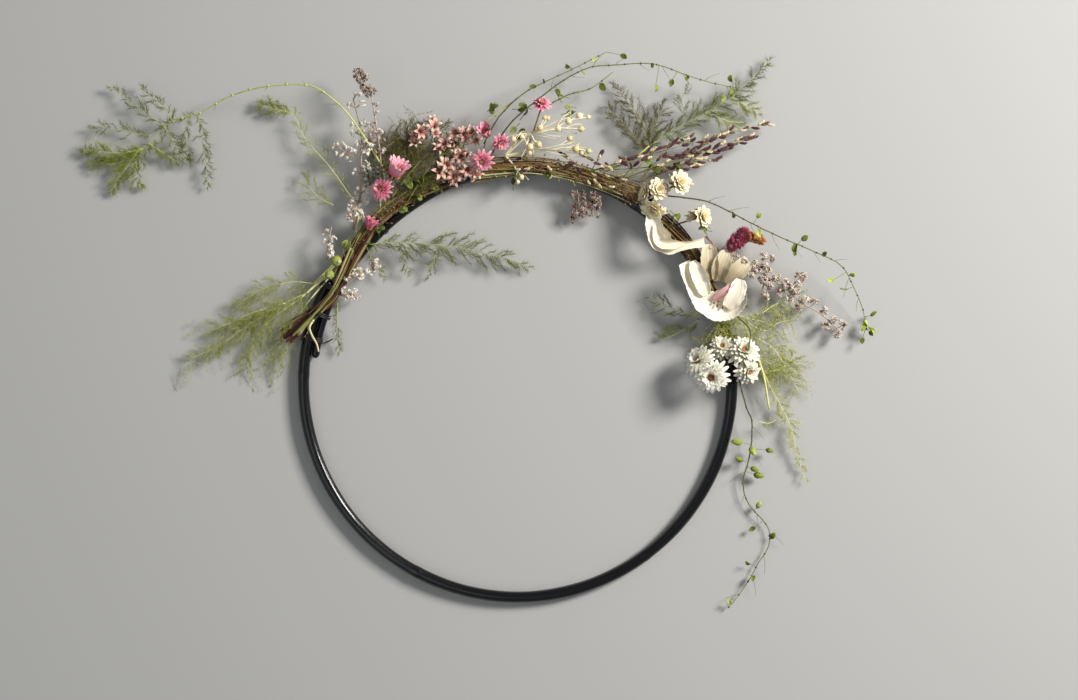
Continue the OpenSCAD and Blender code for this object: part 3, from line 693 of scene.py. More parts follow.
def tuft(shape, rng, place, along, length, tones, count=4, spread=0.75):
    """A few needles that fan out forwards from one point of a twig."""
    side = sideways(along)
    for _ in range(count):
        way = along * rng.uniform(0.4, 1.1) + side * rng.uniform(-spread, spread)
        way = (way + UP * rng.uniform(-0.4, 0.4)).normalized()
        reach = length * rng.uniform(0.5, 1.2)
        shade = rng.uniform(-0.12, 0.12)
        bend = along * reach * 0.08 + side * reach * rng.uniform(-0.12, 0.12)
        needle(shape, place, place + way * reach, bend, 0.22, shaded(tones, shade))


def fern(shape, rng, path, width, gap, needle_l, tones):
    """A feathery spray: a spine, fine side twigs to both sides of it, and needles along each of them."""
    bright = min(tones[1] + 0.2, 1)
    stem(shape, path, SPINE_D, SPINE_D / 2, 5, (bright, bright))
    for share, place, along in walk(path, gap):
        if rng.random() < 0.12:
            continue
        fullness = 0.2 + 0.8 * math.sin(math.pi * share ** 0.75) ** 0.8
        reach = width / 2 * fullness * rng.uniform(0.4, 1.2)
        angle = math.radians(TWIG_LEAN * rng.uniform(0.5, 1.4))
        side = sideways(along) * rng.choice((-1, 1))
        way = along * math.cos(angle) + side * math.sin(angle) + UP * rng.uniform(-0.15, 0.2)
        twig = bowed(place, place + way * reach, side * reach * rng.uniform(-0.05, 0.16))
        looks = shaded(tones, rng.uniform(-0.12, 0.12))
        stem(shape, twig, 0.34, 0.16, 3, (tones[0] + 0.3, tones[1]))
        for _, spot, twig_way in walk(twig, rng.uniform(1.3, 2), 0.1):
            tuft(shape, rng, spot, twig_way, needle_l, looks)


def loose_needles(shape, rng, path, count, reach, spread, tones, hang):
    """Long curved threads off a spine, drawn towards the direction hang, with a few needles each."""
    for _ in range(count):
        index = rng.randrange(len(path) - 1)
        base = path[index].lerp(path[index + 1], rng.random())
        along = (path[index + 1] - path[index]).normalized()
        side = sideways(along) * rng.choice((-1, 1))
        length = reach * rng.uniform(0.4, 1.1)
        way = along * rng.uniform(0.1, 1) + side * rng.uniform(0.2, 1) * spread
        way = (way + Vector(hang) * rng.uniform(0.4, 1.4)).normalized()
        tip = base + way * length - UP * length * rng.uniform(0, 0.2)
        swing = along.cross(UP) * length * rng.uniform(-0.4, 0.4)
        line = bowed(base, tip, swing + UP * length * 0.06, 5)
        looks = shaded(tones, rng.uniform(-0.2, 0.2))
        stem(shape, line, 0.28, 0.12, 3, looks)
        for _, spot, way in walk(line, 3, 0.3):
            tuft(shape, rng, spot, way, 3.2, looks, 2, 0.6)


ARCH_ROUTE = [
    (122, 27, 14), (122, 61, 24), (123, 82, 28), (125, 99, 28), (130, 116, 24), (135, 129, 18),
    (140, 138, 13), (143, 149, 10), (148, 155, 8), (151, 171, 6), (152, 190, 5),
]
ARCH_CLUMP = [
    [(148, 155, 9), (150, 167, 8), (151, 181, 6), (152, 192, 5)],
    [(148, 155, 8), (151, 164, 7), (152, 172, 6), (153, 183, 4)],
    [(148, 157, 8), (151, 158, 7), (153, 160, 6), (155, 160, 4)],
    [(148, 155, 8), (150, 154, 6), (152, 148, 5), (152, 143, 4)],
    [(147, 154, 9), (147, 145, 7), (147, 136, 6), (147, 131, 5)],
]
ARCH_TIPS = [
    [(143, 146, 12), (142, 159, 11), (142, 171, 9), (142, 180, 7)],
    [(144, 149, 11), (144, 163, 10), (144, 180, 8), (144, 198, 6)],
    [(146, 155, 10), (147, 168, 8), (148, 182, 7), (149, 195, 6)],
    [(144, 151, 12), (145, 140, 10), (146, 130, 8), (146, 122, 6)],
    [(140, 138, 14), (141, 129, 12), (143, 123, 9), (145, 113, 7), (148, 103, 5)],
    [(141, 142, 13), (143, 137, 11), (145, 128, 9), (146, 127, 7)],
]
LEFT_TIP = [(132, 19, 14), (131, 48, 13), (131, 75, 10), (130, 94, 8), (133, 113, 6)]
BEHIND_PINKS = [
    [(126, 29, 14), (119, 37, 17), (111, 38, 18), (104, 29, 15)],
    [(128, 22, 13), (124, 27, 14), (118, 30, 14), (112, 34, 13)],
    [(120, 10, 16), (117, 22, 17), (115, 34, 16), (112, 44, 14)],
    [(121, -2, 16), (114, 9, 19), (109, 16, 20), (104, 20, 18)],
    [(124, 6, 17), (117, 14, 18), (110, 22, 19), (102, 24, 17)],
]
BEHIND_STEM = [(104, 18, 18), (97, 32, 24), (90, 46, 26)]
INNER = [
    [(137, -8, 13), (130, -21, 12), (119, -39, 10), (106, -53, 8), (93, -62, 6), (84, -67, 5)],
    [(130, -22, 12), (133, -33, 9), (135, -43, 6)],
    [(120, -38, 10), (125, -46, 8), (131, -53, 5)],
    [(138, -8, 12), (140, -18, 9), (142, -31, 6)],
]
LOW_LEFT = [
    [(157, 10, 13), (161, 21, 11), (168, 42, 8), (173, 60, 6), (176, 80, 5)],
    [(159, 13, 12), (166, 28, 9), (172, 36, 6), (176, 40, 4)],
    [(161, 21, 12), (165, 40, 9), (168, 53, 7), (171, 70, 5)],
    [(158, 6, 12), (165, 12, 9), (171, 16, 6), (175, 23, 4)],
    [(154, 8, 12), (156, 23, 11), (160, 40, 9), (164, 51, 7)],
]
DROP = [(156, -12, 11), (164, -18, 7), (171, -23, 5)]
DARK = [
    [(59, 33, 10), (65, 52, 9), (69, 60, 7), (72, 69, 6)],
    [(60, 34, 10), (62, 50, 9), (62, 63, 8), (63, 70, 7)],
    [(61, 33, 10), (66, 42, 9), (69, 47, 7), (72, 52, 6)],
]
HIGH = [
    [(61, 38, 14), (58, 58, 15), (55, 78, 13), (53, 100, 10), (52, 133, 6)],
    [(58, 68, 14), (60, 77, 12), (60, 86, 10)],
    [(60, 48, 14), (58, 52, 13), (54, 56, 11)],
]
HIGH_BRIGHT = [
    [(56, 77, 13), (54, 79, 12), (51, 83, 10), (49, 89, 8)],
    [(54, 97, 10), (51, 98, 9), (50, 99, 8), (48, 100, 7)],
]
RIGHT = [
    [(22, -1, 17), (17, 11, 17), (14, 26, 14)],
    [(15, 13, 16), (10, 15, 14), (5, 20, 12), (1, 25, 9)],
    [(16, 8, 16), (13, -4, 14), (12, -14, 11)],
    [(15, 15, 15), (12, 25, 13), (13, 36, 10), (13, 44, 8)],
]
RIGHT_TANGLE = [(18, -4, 15), (14, 2, 17), (10, 6, 16)]
RIGHT_INNER = [
    [(21, -18, 13), (26, -30, 9), (33, -39, 6)],
    [(19, -15, 12), (18, -26, 9), (17, -36, 7), (17, -44, 5)],
]
RIGHT_SPRAYS = [
    [(16, 27, 13), (17, 39, 10), (16, 51, 7)],
    [(11, 18, 13), (7, 31, 9), (-2, 46, 6)],
    [(8, 9, 12), (5, 24, 9), (1, 38, 7)],
    [(3, 19, 11), (3, 33, 8), (6, 45, 6)],
]
PALE_STEM = [(8, 16, 17), (2, 21, 13), (-6, 26, 10)]
HANGING = [(5, 19, 12), (-1, 26, 10), (-6, 36, 8), (-10, 44, 7), (-14, 50, 6), (-19, 62, 5)]
HANGING_BRANCH = [(-9, 20, 10), (-9, 28, 8), (-7, 35, 6)]

# For each node, sets of sprays: routes, width, gap between side twigs, needle length, tones
SPRAYS = {
    "fern_arch": [(ARCH_CLUMP, 17, 0.9, 4.8, (0.4, 0.95)), ([ARCH_ROUTE[6:]], 14, 2.2, 4.2, (0.2, 0.6))],
    "fern_arch_tips": [(ARCH_TIPS, 16, 1.7, 4.2, (0.15, 0.6))],
    "fern_left_tip": [([LEFT_TIP], 17, 2.6, 3.6, (0.3, 0.7)), ([LEFT_TIP[3:]], 17, 0.7, 4.6, (0.0, 0.6)),
                      ([[(136, 28, 12), (137, 42, 10), (136, 58, 7)]], 26, 2.4, 3.6, (0.1, 0.5))],
    "fern_behind_pinks": [(BEHIND_PINKS[:2], 32, 1.1, 4.6, (0.0, 0.45)),
                          (BEHIND_PINKS[2:], 26, 1.0, 4.6, (0.0, 0.6))],
    "fern_inner": [(INNER[:1], 30, 1.4, 4.4, (0.2, 0.6)), (INNER[1:], 11, 1.4, 3.8, (0.2, 0.6))],
    "fern_low_left": [(LOW_LEFT, 26, 2.6, 4.8, (0.15, 0.7))],
    "fern_drop": [([DROP], 9, 1.2, 3.6, (0.2, 0.6))],
    "fern_dark": [(DARK, 22, 1.1, 4.0, (0.0, 0.4))],
    "fern_high": [(HIGH[:1], 24, 1.4, 4.4, (0.0, 0.5)), (HIGH[1:], 16, 1.6, 4.2, (0.0, 0.4)),
                  (HIGH_BRIGHT, 15, 1.0, 4.2, (0.4, 0.9))],
    "fern_right": [(RIGHT, 20, 1.9, 4.8, (0.2, 0.8))],
    "fern_right_inner": [(RIGHT_INNER, 20, 2.2, 4.4, (0.3, 0.8))],
    "fern_right_spray": [(RIGHT_SPRAYS, 24, 2.2, 4.8, (0.3, 0.9))],
    "fern_hanging": [([HANGING], 15, 1.3, 4.2, (0.4, 0.95)),
                     ([HANGING_BRANCH], 12, 1.8, 3.8, (0.3, 0.8))],
}
# For some nodes, sets of loose needles: routes, how many, their length, spread, tones, direction
LOOSE = {
    "fern_behind_pinks": [(BEHIND_PINKS, 22, 15, 1.0, (0.1, 0.7), (0, 0, 0))],
    "fern_low_left": [(LOW_LEFT, 48, 21, 0.9, (0.2, 0.95), (-0.25, -1, 0))],
    "fern_right": [(RIGHT, 22, 18, 1.1, (0.3, 0.95), (0, -0.3, 0)),
                   ([RIGHT_TANGLE], 90, 17, 0.9, (0.3, 1.0), (0, 0.2, 0))],
    "fern_right_spray": [(RIGHT_SPRAYS, 16, 18, 1.2, (0.4, 0.95), (0, -0.4, 0))],
}
# For some nodes, the stalks that carry them, from inside the garland
STALKS = {
    "fern_arch": [[(128, 6, 14), (124, 16, 15), (122, 27, 14)]],
    "fern_left_tip": [[(137, 4, 14), (133, 12, 15), (132, 19, 14)]],
    "fern_low_left": [[(146, 1, 12), (152, 5, 13), (157, 10, 13)],
                      [(148, 0, 12), (154, 6, 13), (159, 13, 12)],
                      [(149, 0, 12), (158, 6, 12)], [(145, 2, 12), (154, 8, 12)]],
    "fern_dark": [[(66, 6, 14), (61, 20, 12), (60, 33, 10)]],
    "fern_high": [[(68, 8, 15), (63, 24, 16), (61, 38, 14)]],
    "fern_right_inner": [[(24, -3, 13), (22, -11, 14), (21, -18, 13)]],
}
DRY_NODES = ("fern_behind_pinks", "fern_dark")
PALE_NODES = ("fern_left_tip", "fern_low_left", "fern_right", "fern_right_spray", "fern_hanging")


def make_ferns():
    rng = random.Random("ferns")
    for node, sets in SPRAYS.items():
        shape = Shape()
        for routes, width, gap, needle_l, tones in sets:
            for route in routes:
                fern(shape, rng, curve(route, FERN_STEPS), width, gap, needle_l, tones)
        for routes, *looks in LOOSE.get(node, []):
            for route in routes:
                loose_needles(shape, rng, curve(route, FERN_STEPS), *looks)
        for route in STALKS.get(node, []):
            stem(shape, curve(route), 1.3, 1.1, 6, (0.85, 0.95))
        if node == "fern_arch":
            path = curve(ARCH_ROUTE, 10)
            stem(shape, path, 1.3, 0.5, 7, (0.98, 0.8))
            for _, place, along in walk(path[:ARCH_BARE], 13, 0.3):
                knob(shape, place - along, along, 2.2, 1.9, (0.98, 1.0), 6)
                way = sideways(along) * rng.choice((-1, 1)) + along
                needle(shape, place, place + way * rng.uniform(2, 5), UP * 0.4, 0.35, (0.1, 0.4))
        if node == "fern_behind_pinks":
            stem(shape, curve(BEHIND_STEM), 1.1, 0.8, 6, (0.95, 1.0))
        if node == "fern_right_spray":
            stem(shape, curve(PALE_STEM), 1.7, 1.3, 7, (0.95, 0.8), 1.0)
        finish = PALE_FERN if node in PALE_NODES else DRY_FERN if node in DRY_NODES else FERN
        piece(node + "_needles", shape, finish, "pale_fern" if finish is PALE_FERN else "fern", node)


# ---------------------------------------------------------------- vines and round leaves
CREST_ROUTE = [(98, 18, 17), (94, 34, 25), (89, 49, 28), (84, 60, 26), (80, 70, 20), (75, 87, 11)]
VINE_ARCH_ROUTE = [
    (95, 18, 18), (91, 31, 28), (86, 45, 34), (81, 61, 36), (77, 72, 34), (73, 78, 31), (67, 88, 27),
    (61, 92, 20), (57, 97, 14), (53, 105, 9),
]
SHORT_ROUTE = [(85, 40, 25), (80, 52, 22), (76, 60, 18), (73, 75, 12)]
VINE_RIGHT_ROUTE = [
    (54, 12, 15), (49, 21, 18), (44, 31, 24), (39, 38, 28), (35, 44, 29), (29, 57, 28), (24, 73, 25),
    (20, 87, 20), (16, 91, 15), (12, 94, 10), (9, 94, 6),
]
VINE_TERMINAL = (9, 96, 7)  # the tuft of leaves at the end of the right-hand vine
LOOP_ROUTE = [(17, 9, 21), (13, 15, 25), (9, 12, 26), (5, 8, 25), (2, 7, 21)]
TRAILING_ROUTE = [
    (1, 4, 19), (-6, 10, 16), (-9, 15, 12), (-14, 18, 9), (-19, 20, 7), (-23, 21, 6), (-26, 26, 5),
    (-28, 34, 5), (-30, 51, 4), (-33, 58, 4), (-37, 59, 4), (-40, 61, 4), (-44, 63, 4), (-47, 64, 4),
]
VINE_LEAVES = [
    (87, 55, 27), (85, 59, 25), (81, 71, 18), (78, 70, 16), (77, 79, 14), (72, 88, 11),
    (67, 87, 28), (63, 82, 22), (65, 74, 23), (61, 90, 19), (54, 99, 11), (54, 92, 11), (55, 107, 9),
    (78, 55, 22), (74, 63, 16),
    (38, 40, 27), (35, 52, 29), (32, 45, 29), (26, 62, 27), (27, 71, 27), (23, 79, 24), (18, 93, 18),
    (16, 84, 15), (8, 97, 8), (11, 101, 8), (7, 90, 8), (25, 60, 28), (18, 77, 18),
    (-15, 9, 10), (-16, 20, 9), (-19, 14, 9), (-20, 25, 8), (-15, 31, 8), (-21, 29, 7), (-27, 38, 6),
    (-32, 43, 6), (-31, 56, 6), (-38, 53, 5), (-40, 62, 5), (-46, 61, 5),
]
GARLAND_LEAVES = [
    (89, 39, 22), (95, 41, 20), (82, 51, 22), (79, 42, 22), (90, 23, 22), (118, 8, 19), (116, 5, 19),
    (113, -2, 18), (118, -4, 18), (123, -3, 17), (132, -5, 17), (104, 11, 19), (91, -7, 18),
    (82, -3, 18), (141, 3, 18), (59, 27, 20), (57, 27, 20), (53, 35, 20), (49, -1, 20), (46, 9, 20),
    (40, 18, 20), (31, 44, 14),
]


def wiry(route, rng):
    """A vine's path: its route with the small kinks of a dried stem."""
    return [p + jitter(rng, 0.5) * 0.4 if i % 3 == 0 else p for i, p in enumerate(curve(route, 6))]


def round_leaf(shape, rng, base, way, size, tone):
    """A small rounded leaf, tilted and folded along its middle."""
    normal = (UP * 0.7 + jitter(rng, 0.9)).normalized()
    way = (way + jitter(rng, 0.3)).normalized()
    normal = (normal - way * normal.dot(way)).normalized()
    rows = 7
    sag = rng.uniform(-0.25, 0.3)
    path = []
    widths = []
    for i in range(rows):
        t = i / (rows - 1)
        path.append(base + way * size * t + normal * size * sag * math.sin(math.pi * t))
        widths.append(size * 0.86 * max(0.1, math.sin(math.pi * min(0.1 + 0.86 * t, 0.97)) ** 0.7))
    blade(shape, path, widths, normal, rng.uniform(0.3, 1.2), 0.25, 7, (tone - 0.12, tone + 0.1), 0.12)


def leaf_cup(shape, rng, base, way, size, tone):
    """A leaf still closed round its bud, like a small urn."""
    knob(shape, base, way, size * 0.95, size * 0.75, (tone - 0.2, tone), 8, 0.55)
    for _ in range(4):
        lean = (way + jitter(rng, 0.5)).normalized()
        rim = base + way * size * 0.8
        needle(shape, rim, rim + lean * size * 0.4, lean * 0.1, size * 0.25, (tone, tone + 0.15))


def nearest(places, target):
    return min(places, key=lambda place: (place - target).length)


def make_vines():
    rng = random.Random("vines")
    stems = []
    for name, node, route, tip in (
            ("vine_over_the_crest", "vine_crest", CREST_ROUTE, 0.5),
            ("vine_arching", "vine_arch", VINE_ARCH_ROUTE, 0.45),
            ("vine_short_stem", "vine_short", SHORT_ROUTE, 0.5),
            ("vine_to_the_right", "vine_right", VINE_RIGHT_ROUTE, 0.45),
            ("vine_loop_stem", "vine_loop", LOOP_ROUTE, 0.7),
            ("vine_trailing_stem", "vine_trailing", TRAILING_ROUTE, 0.45)):
        shape = Shape()
        path = wiry(route, rng)
        stems += path
        stem(shape, path, VINE_D, VINE_D * tip, 7, (0.35, 0.75))
        for _, place, along in walk(path, 11, 0.05):
            knob(shape, place - along * 0.6, along, 1.4, 1.5, (0.3, 0.5), 6)
        if node in ("vine_arch", "vine_right", "vine_trailing"):
            for _, place, along in walk(path, 16, 0.2):
                way = (along * 0.7 + sideways(along) * rng.choice((-1, 1)) * 0.7).normalized()
                reach = rng.uniform(6, 13)
                swing = [place, place + way * reach * 0.5 + UP, place + way * reach + along * 2]
                stem(shape, smooth(swing, 4), 0.35, 0.2, 4, (0.5, 0.8))
        piece(name, shape, VINE_STEM, "vine_stem", node)

    leaves = Shape()
    for place in VINE_LEAVES:
        centre = point(place)
        root = nearest(stems, centre)
        size = LEAF_D * rng.uniform(0.65, 0.95)
        way = (centre - root + jitter(rng, 1.5)).normalized()
        base = centre - way * size / 2
        tone = rng.uniform(0.25, 0.85)
        stem(leaves, bowed(root, base, UP * 0.8), 0.35, 0.3, 4, (0.45, tone))
        if -28 < place[0] < 0:
            leaf_cup(leaves, rng, base, way, size * 1.2, tone)
        else:
            round_leaf(leaves, rng, base, way, size, tone)
    terminal = point(VINE_TERMINAL)
    for _ in range(7):
        way = jitter(rng, 1)
        way.z = abs(way.z) * 0.4
        base = terminal + way * 2
        round_leaf(leaves, rng, base, way.normalized(), LEAF_D * 0.75, rng.uniform(0.5, 0.9))
    piece("vine_leaf_blades", leaves, ROUND_LEAF, "round_leaf", "vine_leaves")

    garland = Shape()
    for place in GARLAND_LEAVES:
        for _ in range(3):
            way = (ring_way(rng.uniform(0, math.tau)) + UP * rng.uniform(0, 0.3)).normalized()
            size = LEAF_D * rng.uniform(0.65, 1.0)
            tone = rng.uniform(0.1, 0.8)
            base = point(place) + jitter(rng, 2.5) - way * size * 0.4
            stem(garland, [base - way * 4 - UP * 2, base - way * 2, base], 0.45, 0.35, 4, (0.3, tone))
            round_leaf(garland, rng, base, way, size, tone)
    piece("garland_leaf_blades", garland, GARLAND_LEAF, "garland_leaf", "garland_leaves")


# ---------------------------------------------------------------- seed sprigs and pods
SPRIG_LEFT_ROUTES = [
    [(137, 7, 13), (133, 14, 14), (129, 23, 14), (125, 39, 17), (122, 54, 18), (120, 77, 16)],
    [(126, 43, 17), (127, 52, 17), (127, 57, 16)],
    [(124, 45, 17), (121, 46, 19), (119, 50, 20)],
]
SPRIG_TALL_ROUTE = [(127, 12, 15), (122, 29, 19), (119, 50, 23), (117, 71, 25), (117, 89, 24)]
SMALL_SPRIG_ROUTES = [
    [(147, 8, 15), (144, 13, 15), (140, 19, 13)],
    [(150, -12, 16), (145, -16, 14), (140, -21, 12)],
    [(153, -13, 12), (152, -17, 10), (151, -21, 8)],
    [(136, 13, 16), (134, 16, 17), (132, 18, 17)],
]
SPRIG_RIGHT_ROUTE = [
    (38, 16, 15), (31, 20, 17), (27, 28, 17), (24, 36, 16), (20, 46, 14), (16, 54, 12), (13, 65, 10),
    (9, 77, 8),
]
SPRIG_RIGHT_BRANCHES = [
    [(26, 31, 16), (26, 37, 16), (27, 44, 15)],
    [(23, 37, 15), (21, 32, 13), (20, 30, 12)],
    [(19, 48, 14), (20, 55, 14), (21, 61, 13)],
]
INNER_CLUSTER_ROUTES = [
    [(68, -5, 13), (67, -13, 11), (66, -22, 9)],
    [(73, -9, 13), (71, -18, 11), (70, -28, 8)],
]
GREEN_PODS = [(150, 1, 19, 6.5), (146, 2, 20, 7.5)]


def seed_head(shape, rng, place, way, size, tones):
    """One small seed head: a husk in open pointed bracts."""
    knob(shape, place, way, size * 0.9, size * 0.7, (tones[0], mix(tones[0], tones[1], 0.7)), 6, 0.3)
    side, above = across_both(way)
    for k in range(5):
        angle = math.tau * (k + 0.6 * rng.random()) / 5
        lean = way * rng.uniform(0.4, 1.0) + side * math.cos(angle) + above * math.sin(angle)
        tip = place + lean.normalized() * size * 1.1
        needle(shape, place + way * size * 0.15, tip, way * size * 0.25, size * 0.42, tones)


def clustered_sprig(shape, rng, route, gap, off, count, size, tones, thick):
    """A twig with seed heads in separate plump clusters at both sides of it."""
    path = curve(route)
    stem(shape, path, thick, thick * 0.5, 6, (0.42, 0.62))
    for _, place, along in walk(path, gap, 0.06):
        for flip in (-1, 1):
            if rng.random() < 0.2:
                continue
            way = sideways(along) * flip + along * rng.uniform(0.2, 0.9) + UP * rng.uniform(-0.2, 0.4)
            way.normalize()
            centre = place + way * off * rng.uniform(0.5, 1.15)
            twig = [place, place.lerp(centre, 0.5) + along * 0.4, centre]
            stem(shape, twig, thick * 0.5, thick * 0.35, 5, (0.35, 0.5))
            for _ in range(count):
                out = (jitter(rng, 1) + way * 0.4).normalized()
                looks = shaded(tones, rng.uniform(-0.2, 0.15))
                base = centre + out * size * rng.uniform(0.3, 1)
                seed_head(shape, rng, base, out, size * rng.uniform(0.7, 1.25), looks)


def ribbed_pod(shape, place, way, size, tone, ribs):
    """A round pod with ribs from end to end and a small dried calyx at its tip."""
    rows = 10
    path = [place + way * (size * (i / (rows - 1) - 0.5)) for i in range(rows)]
    radii = [size / 2 * math.sqrt(max(0.03, 1 - (2 * i / (rows - 1) - 1) ** 2)) for i in range(rows)]

    def rib(_, angle):
        return size * 0.022 * math.cos(ribs * angle)

    tube(shape, path, radii, ribs * 4, (tone, tone + 0.1), None, rib)
    side, above = across_both(way)
    top = place + way * size * 0.45
    for k in range(5):
        angle = math.tau * k / 5
        lean = (way + side * math.cos(angle) * 0.6 + above * math.sin(angle) * 0.6).normalized()
        needle(shape, top, top + lean * size * 0.3, way * 0.05, size * 0.13, (0.85, 0.95))


def make_seeds():
    rng = random.Random("seeds")
    white, brown = (0.78, 1.15), (0.3, 1.1)
    # For each node, sets of sprigs: routes, gap, reach of the clusters, heads in each, their size,
    # tones, thickness of the twig
    sprigs = [
        ("seed_sprig_left", [(SPRIG_LEFT_ROUTES[:1], 6.5, 4.4, 6, 2.0, white, 1.8),
                             (SPRIG_LEFT_ROUTES[1:], 3.8, 2.8, 5, 1.9, white, 1.2)]),
        ("seed_sprig_tall", [([SPRIG_TALL_ROUTE[:4]], 6.5, 2.8, 4, 1.8, brown, 1.6),
                             ([SPRIG_TALL_ROUTE[3:]], 2.4, 2.4, 8, 1.8, (0.0, 0.9), 1.3)]),
        ("seed_sprigs_small", [(SMALL_SPRIG_ROUTES, 3.2, 2.4, 6, 1.9, white, 1.3)]),
        ("seed_sprig_right", [([SPRIG_RIGHT_ROUTE], 8.0, 4.2, 11, 2.2, brown, 1.7),
                              (SPRIG_RIGHT_BRANCHES, 5.5, 2.4, 10, 2.2, brown, 1.2)]),
        ("seed_clusters_inner", [(INNER_CLUSTER_ROUTES, 3.6, 2.6, 7, 2.0, (0.1, 0.8), 1.1)]),
    ]
    for node, sets in sprigs:
        shape = Shape()
        for routes, *looks in sets:
            for route in routes:
                clustered_sprig(shape, rng, route, *looks)
        piece(node + "_heads", shape, SEED_HEADS, "seed_heads", node)

    pods = Shape()
    for angle, out, up, size in GREEN_PODS:
        way = (UP + jitter(rng, 0.5)).normalized()
        ribbed_pod(pods, point((angle, out, up)), way, size, 0.3, 8)
        root = point((angle, out - 4, up - 6))
        stem(pods, [root, point((angle, out, up)) - way * size * 0.45], 0.8, 0.6, 5, (0.1, 0.3))
    piece("green_pods_ribbed", pods, POD, "pod", "green_pods")


# ---------------------------------------------------------------- flowers
def facing(place, turn, lean):
    """Where something that faces up is put: lean tips it over towards the direction turn."""
    spin = Matrix.Rotation(math.radians(turn), 4, "Z") @ Matrix.Rotation(math.radians(lean), 4, "Y")
    return Matrix.Translation(point(place)) @ spin


POINTED = (0.35, 0.8, 1.0, 0.92, 0.6, 0.12)  # how wide a bract is from base to tip, as a share
ROUNDED = (0.4, 0.8, 1.0, 0.97, 0.8, 0.35)
SPIRAL = 2.4  # the turn in radians from each floret of a head to the next


def petal_tones(tones, shade):
    """A petal's tones kept within the petal part of its material's ramp."""
    return (max(tones[0] + shade, 0), min(tones[1] + shade, 0.6))


def scaly_cup(shape, at, across, count, base, tip, bend, thick, odd_tone):
    """Scales round the underside of a flower. base, tip and bend are (out, up) as shares of across."""
    for k in range(count):
        out = ring_way(math.tau * k / count)
        low, high = (out * across * reach + UP * across * up for reach, up in (base, tip))
        way = (at.to_3x3() @ (out + UP * bend[1])) * across * bend[0]
        needle(shape, at @ low, at @ high, way, across * thick, (0.98, odd_tone if k % 2 else 0.9))


def flower_stalk(shape, at, across, root, below, bow):
    """A stalk from under a flower to its root in the bundle."""
    path = bowed(at @ (UP * -across * below), root, (at.to_3x3() @ UP) * across * -bow, 5)
    stem(shape, path, across * 0.08, across * 0.05, 6, (0.95, 1.0))


def papery_flower(shape, rng, at, root, across, petals, tiers, low, high, wide, core, tones, core_tone,
                  curl=0.5, outline=ROUNDED, crumple=0.0):
    """An everlasting flower: tiers of stiff bracts, a button of florets, a scaly cup and a stalk.

    low and high are how steeply the outer and the inner bracts stand, in degrees.
    """
    turned = at.to_3x3()
    for tier in range(tiers):
        level = tier / (tiers - 1)
        length = across / 2 * mix(1.0, 0.62, level)
        inner = across * mix(0.1, 0.06, level)
        for k in range(petals):
            out = ring_way(math.tau * (k + 0.5 * tier + rng.uniform(-0.18, 0.18)) / petals)
            climb = math.radians(mix(low, high, level) + rng.uniform(-9, 9))
            reach = (length - inner) * rng.uniform(0.86, 1.06)
            start = out * inner + UP * across * (0.03 * tier - 0.03)
            path, widths = [], []
            for i, share in enumerate(outline):
                t = i / (len(outline) - 1)
                bend = climb - math.radians(14) * t
                ahead, rise = reach * t * math.cos(bend), reach * t * math.sin(bend)
                path.append(at @ (start + out * ahead + UP * rise))
                widths.append(across * wide * share)
            looks = petal_tones(tones, rng.uniform(-0.06, 0.06))
            normal = turned @ (UP * math.cos(climb) - out * math.sin(climb)).normalized()
            phase = rng.uniform(0, 6)

            def crease(along, side):
                waves = math.sin(11 * along + phase) * side + math.sin(6 * side + phase)
                return crumple * along * waves

            blade(shape, path, widths, normal, curl, across * 0.012, 7, looks, 0.0, crease)
    count = 26
    for k in range(count):
        ring = math.sqrt((k + 0.5) / count) * across * core / 2
        base = ring_way(k * SPIRAL) * ring + UP * across * 0.02
        way = (UP + base * (0.8 / across)).normalized()
        height = across * (0.16 - 0.25 * ring / across)
        looks = shaded((core_tone + 0.05, core_tone - 0.04), rng.uniform(-0.05, 0.05))
        knob(shape, at @ base, turned @ way, height, across * 0.045, looks, 5, 0.4)
    scaly_cup(shape, at, across, 12, (0.06, -0.24), (0.21, -0.02), (0.07, 0), 0.13, 0.7)
    flower_stalk(shape, at, across, root, 0.22, 0.15)


# The petals of two kinds of flower, as (height, radius, width) from base to tip
TULIP_PETAL = [(0, 0.07, 0.3), (0.2, 0.3, 0.75), (0.45, 0.38, 1), (0.7, 0.42, 1), (0.88, 0.5, 0.7),
               (1, 0.58, 0.15)]
STAR_LOBE = [(-0.5, 0.05, 0.35), (-0.25, 0.12, 0.7), (-0.04, 0.22, 0.95), (0.06, 0.34, 0.85),
             (0.06, 0.44, 0.55), (-0.01, 0.54, 0.08)]


def tulip_flower(shape, rng, at, across, petals, tones, wide, root=None):
    """A half closed flower seen from its side: upright petals round a cup that flares at its rim."""
    height = across * 0.95
    for tier in range(2):
        for k in range(petals):
            out = ring_way(math.tau * (k + 0.5 * tier + rng.uniform(-0.15, 0.15)) / petals)
            tall = height * mix(1.0, 0.85, tier) * rng.uniform(0.88, 1.06)
            path, widths = [], []
            for t, radius, width in TULIP_PETAL:
                aside = out * across * radius * mix(1.0, 0.72, tier) * rng.uniform(0.96, 1.04)
                path.append(at @ (aside + UP * tall * t))
                widths.append(across * wide * width * mix(1.0, 0.8, tier))
            looks = petal_tones(tones, rng.uniform(-0.05, 0.05))
            blade(shape, path, widths, at.to_3x3() @ (-out), 0.6, across * 0.014, 5, looks)
    count = 14
    for k in range(count):
        base = ring_way(k * SPIRAL) * across * 0.16 * math.sqrt(k / count) + UP * height * 0.25
        knob(shape, at @ base, at.to_3x3() @ UP, height * 0.35, across * 0.06, (0.84, 0.78), 5, 0.4)
    scaly_cup(shape, at, across, 10, (0.03, -0.1), (0.36, 0.24), (0.06, -1), 0.14, 0.72)
    if root is not None:
        flower_stalk(shape, at, across, root, 0.05, 0.1)


